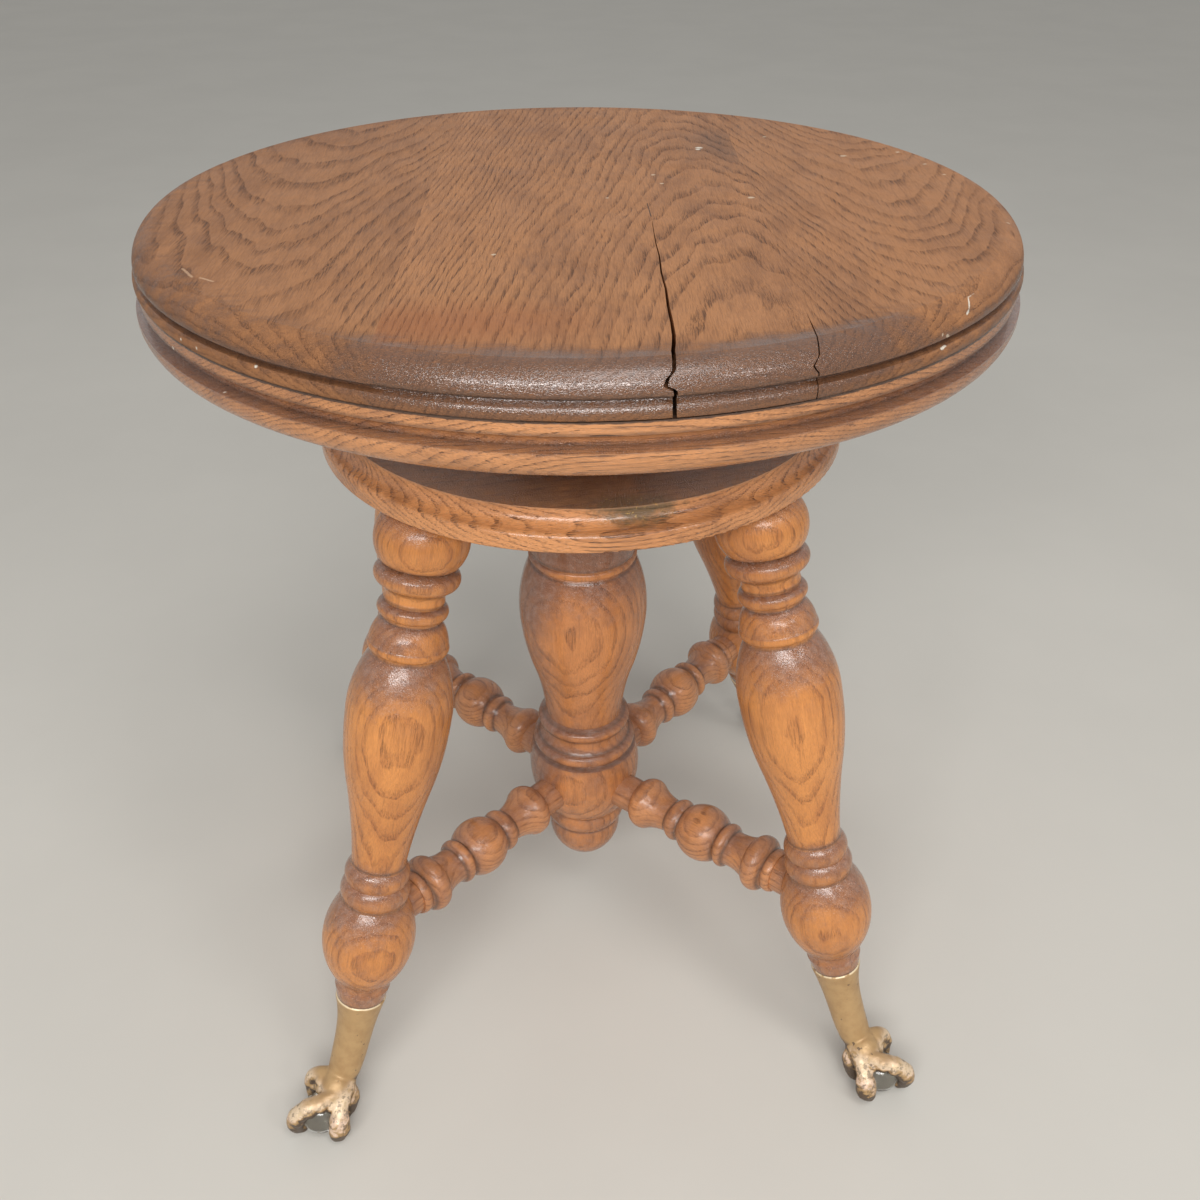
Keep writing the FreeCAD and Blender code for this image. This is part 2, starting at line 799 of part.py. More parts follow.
def make_centre_post():
    tenon_top = disc_top - size.post_tenon_gap
    barrel = size.nut_barrel_radius + size.fit_clearance
    barrel_floor = disc_top - size.nut_barrel_length
    bore = size.rod_radius + size.bore_clearance
    bore_floor = rod_foot - size.post_bore_depth
    drop_top = size.post_tip + size.post_drop_height
    drop_bead_foot = drop_top + size.post_drop_groove_height
    groove_foot = drop_bead_foot + size.post_drop_bead_height
    ball_top = post_ball_foot + size.post_ball_height
    lower_foot = ball_top + size.post_ball_fillet
    scotia_foot = lower_foot + size.post_lower_ring_height
    upper_foot = scotia_foot + size.post_scotia_height
    upper_ring = upper_foot + size.post_upper_ring_height
    neck_height = upper_ring + size.post_neck_rise
    waist_height = neck_height + size.post_waist_rise
    vase_height = waist_height + size.post_vase_rise
    shoulder = vase_height + size.post_shoulder_rise
    bead_foot = shoulder + size.post_bead_gap
    collar_foot = bead_foot + size.post_bead_height
    outline = [
        (ZERO, size.post_tip, POST_DROP_SHARE),
        (size.post_drop_radius, drop_top, 0),
        (size.post_drop_groove, drop_bead_foot, 0),
        (size.post_drop_bead_foot, drop_bead_foot, FILLET_SHARE),
        (size.post_drop_bead_top, groove_foot, 0),
        (size.post_groove_radius, groove_foot, 0),
        (size.post_groove_radius, post_ball_foot, 0),
        (size.post_ball_foot_radius, post_ball_foot, POST_BALL_SHARE),
        (size.post_ball_top_radius, ball_top, 0),
        (size.post_lower_ring_root, lower_foot, BEAD_SHARE),
        (size.post_scotia_foot, scotia_foot, COVE_SHARE),
        (size.post_upper_ring_root, upper_foot, BEAD_SHARE),
        (size.post_upper_ring_root, upper_ring, 0),
        (size.post_neck_radius, neck_height, NECK_SHARE * 2),
        (size.post_waist_radius, waist_height, VASE_SHARE),
        (size.post_vase_radius, vase_height, VASE_SHARE * 2),
        (size.post_shoulder_radius, shoulder, 0),
        (size.post_bead_root, bead_foot, BEAD_SHARE),
        (size.post_bead_root, collar_foot, 0),
        (size.post_collar_radius, collar_foot, 0),
        (size.post_collar_radius, disc_underside, 0),
        (size.post_tenon_radius, disc_underside, 0),
        (size.post_tenon_radius, tenon_top, 0),
        (barrel, tenon_top, 0),
        (barrel, barrel_floor, 0),
        (bore, barrel_floor, 0),
        (bore, bore_floor, 0),
        (ZERO, bore_floor, 0),
    ]
    body = turned("centre_post", outline)
    rim = size.post_vase_radius + size.overrun
    first = turned_about_axis(size.first_leg_angle)
    mortise = drilled(
        body, "hub_mortise", mortise_radius, rim - size.stretcher_start,
        first + " * " + stretcher_place + " * " + spot(ZERO, ZERO, rim))
    patterned(body, "hub_mortises", [mortise], LEG_COUNT)
    return body


# Legs

def make_leg_master():
    outline = [
        (ZERO, ZERO - size.leg_tenon_depth, 0),
        (ZERO, leg_end_station + size.foot_tenon_length, 0),
        (size.foot_tenon_tip_radius, leg_end_station + size.foot_tenon_length, 0),
        (size.foot_tenon_root_radius, leg_end_station, 0),
        (size.leg_end_radius, leg_end_station, 0),
        (size.leg_ankle_radius, ankle_station, -COVE_SHARE),
        (size.leg_bulb_end_radius, bulb_end, -BULB_SHARE),
        (size.leg_bulb_start_radius, bulb_start, 0),
        (size.leg_ring_e_root, ring_e_end, -FILLET_SHARE),
        (size.leg_ring_d_root, ring_d_end, -FILLET_SHARE),
        (size.leg_ring_d_top_root, ring_d_start, 0),
        (size.leg_neck_radius, neck_station, -NECK_SHARE),
        (size.leg_vase_mid_radius, vase_mid, -VASE_SHARE),
        (size.leg_vase_radius, vase_full, -VASE_TOP_SHARE),
        (size.leg_vase_start_radius, vase_start, 0),
        (size.leg_ring_c_root, ring_c_end, -SLIM_BEAD_SHARE),
        (size.leg_ring_c_edge_radius, ring_c_edge, -DOME_SHARE),
        (size.leg_ring_c_top_radius, ring_c_start, 0),
        (size.leg_cove_b_radius, cove_b_end, 0),
        (size.leg_ring_b_root, ring_b_end, -FULL_BEAD_SHARE),
        (size.leg_ring_b_root, ring_b_start, 0),
        (size.leg_cove_a_radius, cove_a_end, -COVE_SHARE),
        (size.leg_ring_a_root, ring_a_end, -FULL_BEAD_SHARE),
        (size.leg_ring_a_root, ring_a_start, 0),
        (size.leg_ball_end_radius, leg_ball_end, -LEG_BALL_SHARE),
        (size.leg_ball_start_radius, size.leg_collar_length, 0),
        (size.leg_tenon_radius, size.leg_collar_length, 0),
        (size.leg_tenon_radius, ZERO - size.leg_tenon_depth, 0),
    ]
    body = turned("leg_master", outline)
    stop = ZERO - size.stretcher_tenon_stop
    across = size.leg_splay_angle - size.stretcher_rise_angle - Size(QUARTER_TURN, "90")
    drilled(body, "leg_mortise", mortise_radius, size.leg_vase_radius * 2,
            tipped(ZERO, leg_crossing, across) + " * " + spot(ZERO, ZERO, stop))
    return body


# Stretchers

def make_stretcher_master():
    shoulder = size.bell_start + size.bell_shoulder_length
    waist_start = shoulder + size.bell_body_length
    bell_end = waist_start + size.bell_waist_length
    inner_ring = bell_end + size.inner_ring_gap
    inner_ring_end = inner_ring + size.inner_ring_length
    knob_start = inner_ring_end + size.knob_groove
    knob_end = knob_start + size.knob_length
    outer_ring = knob_end + size.outer_ring_groove
    outer_ring_end = outer_ring + size.outer_ring_length
    taper_start = outer_ring_end + size.taper_gap
    tail_ring_end = stretcher_crossing - size.tail_ring_setback
    tail_ring = tail_ring_end - size.tail_ring_length
    flare_end = tail_ring - size.tail_ring_groove
    taper_end = flare_end - size.flare_length
    outline = [
        (ZERO, size.stretcher_start, 0),
        (size.stretcher_tenon_radius, size.stretcher_start, 0),
        (size.stretcher_tenon_radius, size.bell_start, 0),
        (size.bell_shoulder_radius, shoulder, BELL_SHARE),
        (size.bell_waist_start_radius, waist_start, WAIST_SHARE),
        (size.bell_end_radius, bell_end, 0),
        (size.stretcher_ring_root, inner_ring, SLIM_BEAD_SHARE),
        (size.stretcher_ring_root, inner_ring_end, 0),
        (size.stretcher_groove_radius, (inner_ring_end + knob_start) * 0.5, 0),
        (size.knob_root, knob_start, KNOB_SHARE),
        (size.knob_root, knob_end, 0),
        (size.stretcher_groove_radius, (outer_ring + knob_end) * 0.5, 0),
        (size.stretcher_ring_root, outer_ring, BEAD_SHARE),
        (size.stretcher_ring_root, outer_ring_end, 0),
        (size.taper_start_radius, taper_start, WAIST_SHARE),
        (size.taper_end_radius, taper_end, BEAD_SHARE),
        (size.flare_end_radius, flare_end, 0),
        (size.tail_ring_root, tail_ring, SLIM_BEAD_SHARE),
        (size.tail_ring_root, tail_ring_end, 0),
        (size.stretcher_tenon_radius, tail_ring_end, 0),
        (size.stretcher_tenon_radius, stretcher_end, 0),
        (ZERO, stretcher_end, 0),
    ]
    return turned("stretcher_master", outline)


# Claw feet and glass balls, made in the plane of one leg

def ferrule_sections(name):
    """Circles down the bent ferrule, the first square to the leg's end, and where it ends."""
    circles = []
    for number, (radius, x, drop, turn) in enumerate(ferrule_sizes, start=1):
        circle = document.addObject("Part::Circle", "%s_section_%d" % (name, number))
        bind(circle, "Radius", radius)
        circle.setExpression("Placement", tipped(x, disc_underside - drop, turn))
        circles.append(circle)
    _, last_reach, last_drop, last_turn = ferrule_sizes[-1]
    return circles, tipped(last_reach, disc_underside - last_drop, last_turn)


def claw_points(shares, side):
    """Centres and radii of one claw's sections, on the given side of its leg."""
    radius = size.ball_radius.number
    centre = FreeCAD.Vector(ball_reach.number, 0, radius)
    rows = []
    for around, above, distance, thickness in shares:
        turn = math.radians(around) * side
        lift = math.radians(above)
        direction = FreeCAD.Vector(
            math.cos(lift) * math.cos(turn), math.cos(lift) * math.sin(turn), math.sin(lift))
        rows.append((centre + direction * (distance * radius), thickness * radius))
    return rows


def claw_shape(shares, side):
    """One knuckled claw, lofted through circles square to its own path."""
    rows = claw_points(shares, side)
    wires = []
    for number, (place, radius) in enumerate(rows):
        before = rows[max(number - 1, 0)][0]
        after = rows[min(number + 1, len(rows) - 1)][0]
        circle = Part.Circle(place, after - before, radius)
        wires.append(Part.Wire([circle.toShape()]))
    return Part.makeLoft(wires, True, False)


def make_foot_master(name, side):
    """The iron foot of one leg, with its claws turned towards the stool's front."""
    metal = document.addObject("Part::MultiFuse", name + "_metal")
    palm = document.addObject("Part::Sphere", name + "_palm")
    bind(palm, "Radius", size.palm_radius)
    inward, forward, upward = PALM_PLACE_SHARES
    palm.setExpression("Placement", spot(
        ball_reach - size.ball_radius * inward,
        size.ball_radius * (forward * side),
        size.ball_radius + size.ball_radius * upward))
    ferrule = document.addObject("Part::Loft", name + "_ferrule")
    ferrule.Sections, ferrule_end = ferrule_sections(name)
    ferrule.Solid = True
    ferrule.Ruled = False
    lip = document.addObject("Part::Cone", name + "_lip")
    bind(lip, "Radius1", size.ferrule_rim_radius - size.ferrule_lip)
    bind(lip, "Radius2", size.ferrule_rim_radius)
    bind(lip, "Height", size.ferrule_lip)
    leg_end = leg_place + " * " + spot(ZERO, ZERO, leg_end_station)
    lip.setExpression("Placement", leg_end)
    heel = document.addObject("Part::Cone", name + "_heel")
    bind(heel, "Radius1", size.ferrule_last_radius)
    bind(heel, "Radius2", size.heel_radius)
    bind(heel, "Height", size.heel_height)
    heel.setExpression("Placement", ferrule_end)
    shapes = [ferrule, lip, heel, palm]
    for which, shares in CLAW_SHARES.items():
        claw = document.addObject("Part::Feature", "%s_%s_claw" % (name, which))
        claw.Shape = claw_shape(shares, side)
        shapes.append(claw)
    metal.Shapes = shapes
    seat = document.addObject("Part::Sphere", name + "_ball_seat")
    bind(seat, "Radius", size.ball_radius + size.ball_clearance)
    seat.setExpression("Placement", spot(ball_reach, ZERO, size.ball_radius))
    socket = document.addObject("Part::Cone", name + "_socket")
    bind(socket, "Radius1", size.foot_tenon_root_radius + size.fit_clearance)
    bind(socket, "Radius2", size.foot_tenon_tip_radius + size.fit_clearance)
    bind(socket, "Height", size.foot_tenon_length + size.fit_clearance)
    socket.setExpression("Placement", leg_end)
    hollows = document.addObject("Part::MultiFuse", name + "_hollows")
    hollows.Shapes = [seat, socket]
    foot = document.addObject("Part::Cut", name)
    foot.Base = metal
    foot.Tool = hollows
    return foot


def make_ball_master():
    ball = document.addObject("Part::Sphere", "ball_master")
    bind(ball, "Radius", size.ball_radius)
    ball.setExpression("Placement", spot(ball_reach, ZERO, size.ball_radius))
    return ball


# The whole stool

def make_stool():
    around = [turned_about_axis(turn) for turn in quarter_turns()]
    parts = make_seat_boards()
    parts.append(make_under_board())
    parts.append(make_seat_plate())
    parts.append(make_lift_screw())
    parts.append(make_nut())
    screw = make_screw_master()
    parts.append(make_screws(
        screw, "seat_plate_screws", PLATE_SCREW_COUNT, size.plate_screw_circle, plate_face, True))
    parts.append(make_screws(
        screw, "nut_screws", NUT_SCREW_COUNT, size.nut_screw_circle, nut_top, False))
    parts.append(make_base_disc())
    parts.append(make_centre_post())
    leg_places = [turn + " * " + leg_place for turn in around]
    parts += copies(make_leg_master(), "leg", leg_places)
    stretcher_places = [turn + " * " + stretcher_place for turn in around]
    parts += copies(make_stretcher_master(), "stretcher", stretcher_places)
    right_foot = make_foot_master("right_foot_master", -1)
    left_foot = make_foot_master("left_foot_master", 1)
    for number, place in enumerate(around, start=1):
        master = left_foot if number % 2 else right_foot
        parts += copies(master, "claw_foot", [place], number)
    parts += copies(make_ball_master(), "glass_ball", around)
    return parts


def check_document():
    for item in document.Objects:
        if "Invalid" in item.State or "Error" in item.State:
            raise RuntimeError("%s did not build: %s" % (item.Name, item.State))


def write_parts(parts):
    os.makedirs("parts", exist_ok=True)
    for part in parts:
        shape = part.Shape
        if shape.isNull() or not shape.isValid() or not shape.Solids:
            raise RuntimeError("%s has no valid solid" % part.Label)
        shape.exportStep("parts/%s.step" % part.Label)


stool = make_stool()
document.recompute()
check_document()
write_parts(stool)
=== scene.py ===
import math

import bmesh
import bpy
from mathutils import Matrix, Vector, noise


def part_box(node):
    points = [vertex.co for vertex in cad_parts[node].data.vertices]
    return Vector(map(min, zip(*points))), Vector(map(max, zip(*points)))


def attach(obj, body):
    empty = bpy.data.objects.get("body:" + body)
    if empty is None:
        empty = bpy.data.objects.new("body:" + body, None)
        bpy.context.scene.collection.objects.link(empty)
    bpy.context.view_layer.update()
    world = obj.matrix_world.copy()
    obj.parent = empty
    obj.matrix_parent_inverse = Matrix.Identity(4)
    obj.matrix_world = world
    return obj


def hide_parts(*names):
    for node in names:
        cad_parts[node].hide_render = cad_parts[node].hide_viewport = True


bl_info = {
    "name": "Piano Stool Finishes",
    "version": (1, 0, 0),
    "blender": (4, 5, 0),
    "location": "View3D > Sidebar > Stool",
    "description": "Dresses an oak piano stool: old varnish, gilt claw feet, glass balls and thread",
    "category": "Object",
}

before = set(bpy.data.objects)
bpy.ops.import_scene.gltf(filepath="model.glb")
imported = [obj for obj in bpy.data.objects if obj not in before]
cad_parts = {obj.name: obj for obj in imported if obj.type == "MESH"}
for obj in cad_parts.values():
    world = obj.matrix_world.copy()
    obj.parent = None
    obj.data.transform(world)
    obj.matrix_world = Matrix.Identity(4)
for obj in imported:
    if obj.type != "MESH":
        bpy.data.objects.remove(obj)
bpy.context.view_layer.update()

MM = 0.001
UP = Vector((0, 0, 1))
BOARD_DIRECTION = Vector((0.0663, 0.9978, 0))
LEG_SPLAY = math.radians(16.1)
LEG_TOP = Vector((0.0957, 0, 0.3165))
STRETCHER_RISE = math.radians(3.2)
STRETCHER_HEART = Vector((0, 0, 0.0998)) + Vector((0, 0.01, -0.028))
LEG_AZIMUTHS = {1: 45, 2: 135, 3: 225, 4: 315}
LEG_FACES = {1: (0.2, 1, 0), 2: (-0.6, 0.8, 0), 3: (0.1, -1, 0), 4: (-0.12, -1, 0)}
LEG_HEART_DEPTH = 0.034


def paint_setting(name, thing, default):
    return bpy.props.FloatVectorProperty(
        name=name, description="Colour of " + thing, subtype="COLOR", min=0, max=1,
        default=default)


def length_setting(name, description, low, high, default):
    return bpy.props.FloatProperty(
        name=name, description=description, unit="LENGTH", min=low, max=high, default=default)


def angle_setting(name, description, degrees):
    return bpy.props.FloatProperty(
        name=name, description=description, subtype="ANGLE", default=math.radians(degrees))


def power_setting(name, description, default):
    return bpy.props.FloatProperty(
        name=name, description=description, unit="POWER", min=0, max=500, default=default)


class StoolOakSettings(bpy.types.PropertyGroup):
    seat_light: paint_setting("Seat Light", "the seat's smooth late wood", (0.425, 0.19, 0.077))
    seat_dark: paint_setting("Seat Dark", "the seat's open early wood", (0.255, 0.11, 0.047))
    turned_light: paint_setting("Turned Light", "the legs' smooth late wood", (0.665, 0.262, 0.07))
    turned_dark: paint_setting("Turned Dark", "the legs' open early wood", (0.42, 0.15, 0.044))
    pore: paint_setting("Pore", "the stained pores", (0.075, 0.032, 0.017))
    varnish: paint_setting(
        "Old Varnish", "the dark crazed varnish on upward faces", (0.29, 0.112, 0.058))
    nose_varnish: paint_setting(
        "Edge Varnish", "the thick varnish on the seat's edge", (0.15, 0.054, 0.019))
    ring_width: length_setting("Ring Width", "Thickness of one year's growth", 0.0005, 0.02, 0.0031)
    pore_depth: length_setting("Pore Depth", "Depth of the open pores", 0, 0.001, 0.0002)
    craze_depth: length_setting(
        "Craze Depth", "Depth of the varnish's crazing", 0, 0.001, 0.0003)


class StoolMetalSettings(bpy.types.PropertyGroup):
    gold: paint_setting("Gold Paint", "the old gold paint", (0.51, 0.325, 0.15))
    # Painted highlight: the pale gold laid on the claws' upward faces.
    highlight_gold: paint_setting(
        "Pale Gold", "the rubbed claws and the ferrule's rim", (0.84, 0.61, 0.45))
    # Also painted shade on the claws' lower faces, besides the real nicks and pits.
    bare_iron_and_shade: paint_setting(
        "Bare Iron", "the iron where the paint has gone", (0.075, 0.052, 0.04))
    black_iron: paint_setting("Black Iron", "the nut and the seat plate", (0.06, 0.052, 0.046))
    steel: paint_setting("Screw Steel", "the lifting screw", (0.23, 0.205, 0.18))


class StoolThreadSettings(bpy.types.PropertyGroup):
    pitch: length_setting("Pitch", "Rise of the lifting screw in one turn", 0.001, 0.02, 0.00635)
    depth: length_setting("Depth", "Depth of the thread below its crest", 0.0001, 0.004, 0.0019)
    steps: bpy.props.IntProperty(
        name="Steps", description="Straight steps in one turn of the thread",
        min=12, max=96, default=48)


class StoolCrackSettings(bpy.types.PropertyGroup):
    width: length_setting(
        "Width", "Width of the crack at the seat's front edge", 0.0001, 0.005, 0.0013)
    glue_gap: length_setting(
        "Glue Gap", "Height of the open glue line at the seat's front edge", 0.0001, 0.003, 0.0008)


class StoolGlassSettings(bpy.types.PropertyGroup):
    colour: paint_setting("Glass", "the smoky glass balls", (0.84, 0.825, 0.77))


class StoolStageSettings(bpy.types.PropertyGroup):
    floor: paint_setting("Floor", "the plain floor", (0.66, 0.63, 0.57))
    camera_place: bpy.props.FloatVectorProperty(
        name="Camera Place", description="Where the camera stands",
        subtype="TRANSLATION", unit="LENGTH", default=(-0.032, -0.4921, 0.5527))
    camera_lens: bpy.props.FloatProperty(
        name="Lens", description="Focal length of the camera in millimetres",
        min=10, max=200, default=35.19)
    camera_pitch: angle_setting("Pitch", "How far the camera looks down", 34.37)
    camera_heading: angle_setting(
        "Heading", "How far the camera looks to the right of straight ahead", 4.73)
    camera_roll: angle_setting("Roll", "How far the camera is rolled about its own view", 0.1)
    sky: bpy.props.FloatProperty(
        name="Sky", description="Strength of the light from all round",
        min=0, max=5, default=0.42)
    key: power_setting("Key Light", "Power of the lamp in front of the stool", 27)
    side: power_setting("Side Light", "Power of the lamp to the right of the stool", 4.5)
    fill: power_setting("Top Light", "Power of the lamp above the front of the stool", 9.5)


# Node trees

class Wiring:
    """Adds nodes to one tree, each in a plain call, and lays them out in order."""

    def __init__(self, tree):
        self.tree = tree
        self.count = 0

    def add(self, kind, **settings):
        made = self.tree.nodes.new(kind)
        made.location = (180 * (self.count % 12), -220 * (self.count // 12))
        self.count += 1
        for name, value in settings.items():
            setattr(made, name, value)
        return made

    def put(self, socket, value):
        if isinstance(value, bpy.types.NodeSocket):
            self.tree.links.new(value, socket)
        elif isinstance(value, Vector):
            socket.default_value = tuple(value)
        else:
            socket.default_value = value

    def fed(self, kind, inputs, **settings):
        """A new node with its inputs set or linked by name. Gives its outputs."""
        made = self.add(kind, **settings)
        for name, value in inputs.items():
            self.put(made.inputs[name], value)
        return made.outputs

    def math(self, operation, first, second=0, third=0, clamp=False):
        made = self.add("ShaderNodeMath", operation=operation, use_clamp=clamp)
        for socket, value in zip(made.inputs, (first, second, third)):
            self.put(socket, value)
        return made.outputs[0]

    def times(self, first, second, clamp=False):
        return self.math("MULTIPLY", first, second, clamp=clamp)

    def plus(self, first, second, clamp=False):
        return self.math("ADD", first, second, clamp=clamp)

    def minus(self, first, second):
        return self.math("SUBTRACT", first, second)

    def scaled(self, value, factor, start):
        return self.math("MULTIPLY_ADD", value, factor, start)

    def larger(self, first, second):
        return self.math("MAXIMUM", first, second)

    def vector(self, operation, first, second=(0, 0, 0), scale=1):
        made = self.add("ShaderNodeVectorMath", operation=operation)
        self.put(made.inputs[0], first)
        self.put(made.inputs[1], second)
        self.put(made.inputs[3], scale)
        return made.outputs[1 if operation in ("DOT_PRODUCT", "LENGTH") else 0]

    def apart(self, vector):
        made = self.add("ShaderNodeSeparateXYZ")
        self.put(made.inputs[0], vector)
        return made.outputs[0], made.outputs[1], made.outputs[2]

    def together(self, x, y, z):
        made = self.add("ShaderNodeCombineXYZ")
        for socket, value in zip(made.inputs, (x, y, z)):
            self.put(socket, value)
        return made.outputs[0]

    def length(self, x, y, z=0):
        return self.vector("LENGTH", self.together(x, y, z))

    def noise(self, vector, scale, detail=2, roughness=0.5, colour=False):
        made = self.fed("ShaderNodeTexNoise", {
            "Vector": vector, "Scale": scale, "Detail": detail, "Roughness": roughness})
        return made["Color" if colour else "Fac"]

    def stretched_noise(self, vector, stretch, detail=1, roughness=0.5, colour=False):
        return self.noise(self.vector("MULTIPLY", vector, stretch), 1, detail, roughness, colour)

    def cells(self, vector, scale):
        """The distance to the edges between random cells."""
        return self.fed("ShaderNodeTexVoronoi", {"Vector": vector, "Scale": scale},
                        feature="DISTANCE_TO_EDGE")["Distance"]

    def step(self, value, low, high, from_value=0, to_value=1, curve="SMOOTHSTEP"):
        return self.fed("ShaderNodeMapRange", {
            "Value": value, "From Min": low, "From Max": high, "To Min": from_value,
            "To Max": to_value}, interpolation_type=curve)["Result"]

    def ramp(self, value, stops):
        made = self.add("ShaderNodeValToRGB")
        self.put(made.inputs[0], value)
        points = made.color_ramp.elements
        while len(points) < len(stops):
            points.new(0.5)
        for point, (place, level) in zip(points, stops):
            point.position = place
            point.color = (level, level, level, 1)
        return made.outputs["Color"]

    def mix(self, factor, first, second, blend="MIX"):
        made = self.add("ShaderNodeMix", data_type="RGBA", blend_type=blend)
        self.put(made.inputs[0], factor)
        self.put(made.inputs[6], self.paint(first))
        self.put(made.inputs[7], self.paint(second))
        return made.outputs[2]

    def paint(self, colour):
        if isinstance(colour, bpy.types.NodeSocket):
            return colour
        return (*tuple(colour)[:3], 1)

    def bump(self, height, distance, normal=None):
        inputs = {"Height": height, "Distance": distance, "Strength": 1.0}
        if normal:
            inputs["Normal"] = normal
        return self.fed("ShaderNodeBump", inputs)["Normal"]

    def shade(self, **values):
        """Sets sockets of the material's shader, Base_Color for Base Color."""
        for name, value in values.items():
            self.put(self.shader.inputs[name.replace("_", " ")], value)


def new_group(name, takes, gives):
    """The wiring of a new node group, with the sockets that it takes and gives inside."""
    tree = bpy.data.node_groups.new(name, "ShaderNodeTree")
    for label, kind in takes:
        tree.interface.new_socket(label, in_out="INPUT", socket_type=kind)
    for label, kind in gives:
        tree.interface.new_socket(label, in_out="OUTPUT", socket_type=kind)
    wiring = Wiring(tree)
    inlet = wiring.add("NodeGroupInput")
    outlet = wiring.add("NodeGroupOutput")
    return wiring, inlet.outputs, outlet.inputs


def use_group(wiring, name, values):
    return wiring.fed("ShaderNodeGroup", values, node_tree=bpy.data.node_groups[name])


def new_material(name):
    """A material and its wiring, which keeps the shader and the object's own place and normal."""
    material = bpy.data.materials.new(name)
    material.use_nodes = True
    material.node_tree.nodes.clear()
    wiring = Wiring(material.node_tree)
    output = wiring.add("ShaderNodeOutputMaterial")
    wiring.shader = wiring.add("ShaderNodeBsdfPrincipled")
    wiring.put(output.inputs[0], wiring.shader.outputs[0])
    coordinates = wiring.add("ShaderNodeTexCoord")
    wiring.place = coordinates.outputs["Object"]
    wiring.normal = coordinates.outputs["Normal"]
    return material, wiring


VALUE = "NodeSocketFloat"
VECTOR = "NodeSocketVector"
COLOUR = "NodeSocketColor"


def make_grain_group():
    """Oak grain: rings round a distant heart, open pores in dashes, and slow shading."""
    wire, take, give = new_group(
        "oak grain",
        [("Place", VECTOR), ("Light", COLOUR), ("Dark", COLOUR), ("Pore", COLOUR),
         ("Ring Width", VALUE), ("Taper", VALUE), ("Wander", VALUE), ("Contrast", VALUE),
         ("Pore Strength", VALUE)],
        [("Colour", COLOUR), ("Height", VALUE), ("Early", VALUE)])
    place = wire.vector("SCALE", take["Place"], scale=1000)
    slow = wire.stretched_noise(place, (0.016, 0.016, 0.0045), 2, colour=True)
    slow = wire.vector("SUBTRACT", slow, (0.5, 0.5, 0.5))
    quick = wire.stretched_noise(place, (0.1, 0.1, 0.022), 2, colour=True)
    quick = wire.vector("SUBTRACT", quick, (0.5, 0.5, 0.5))
    moved = wire.vector("ADD", place, wire.vector("SCALE", slow, scale=take["Wander"]))
    moved = wire.vector("ADD", moved, wire.vector("SCALE", quick, scale=3.2))
    across, through, along = wire.apart(moved)
    heart = wire.length(across, through)
    heart = wire.scaled(along, take["Taper"], heart)
    uneven = wire.noise(wire.together(heart, 0, 0), 0.045, 1)
    heart = wire.scaled(uneven, 9, heart)
    year = wire.math("DIVIDE", heart, wire.times(take["Ring Width"], 1000))
    season = wire.math("FRACT", year)
    early = wire.ramp(season, ((0, 0), (0.06, 1), (0.24, 0.7), (0.44, 0.1), (1, 0)))
    fade = wire.stretched_noise(moved, (0.13, 0.13, 0.022), 3, 0.6)
    early = wire.times(early, wire.step(fade, 0.36, 0.64, 0.42, 1))
    dashes = wire.stretched_noise(moved, (2.3, 2.3, 0.085), 2, 0.65)
    fine = wire.stretched_noise(place, (4.2, 4.2, 0.3))
    pores = wire.step(dashes, 0.5, 0.63)
    pores = wire.times(pores, wire.scaled(early, 0.8, 0.2))
    flecks = wire.step(wire.stretched_noise(place, (1.1, 0.35, 0.05)), 0.62, 0.7)
    cloud = wire.stretched_noise(place, (0.02, 0.02, 0.008), 3, 0.6)
    mottle = wire.stretched_noise(place, (0.11, 0.11, 0.035), 4, 0.65)
    cloud = wire.plus(wire.step(cloud, 0.32, 0.68, -0.16, 0.3),
                      wire.step(mottle, 0.36, 0.66, -0.1, 0.34))
    shade = wire.scaled(early, 0.56, cloud)
    shade = wire.times(shade, take["Contrast"], clamp=True)
    colour = wire.mix(shade, take["Light"], take["Dark"])
    streaks = wire.scaled(wire.minus(fine, 0.5), 0.5, 1)
    tone = wire.together(streaks, streaks, streaks)
    colour = wire.mix(1, colour, tone, "MULTIPLY")
    dark = wire.times(pores, take["Pore Strength"], clamp=True)
    dark = wire.larger(dark, wire.times(flecks, 0.22))
    colour = wire.mix(dark, colour, take["Pore"])
    height = wire.minus(wire.times(fine, 0.18), pores)
    wire.put(give["Colour"], colour)
    wire.put(give["Height"], height)
    wire.put(give["Early"], early)


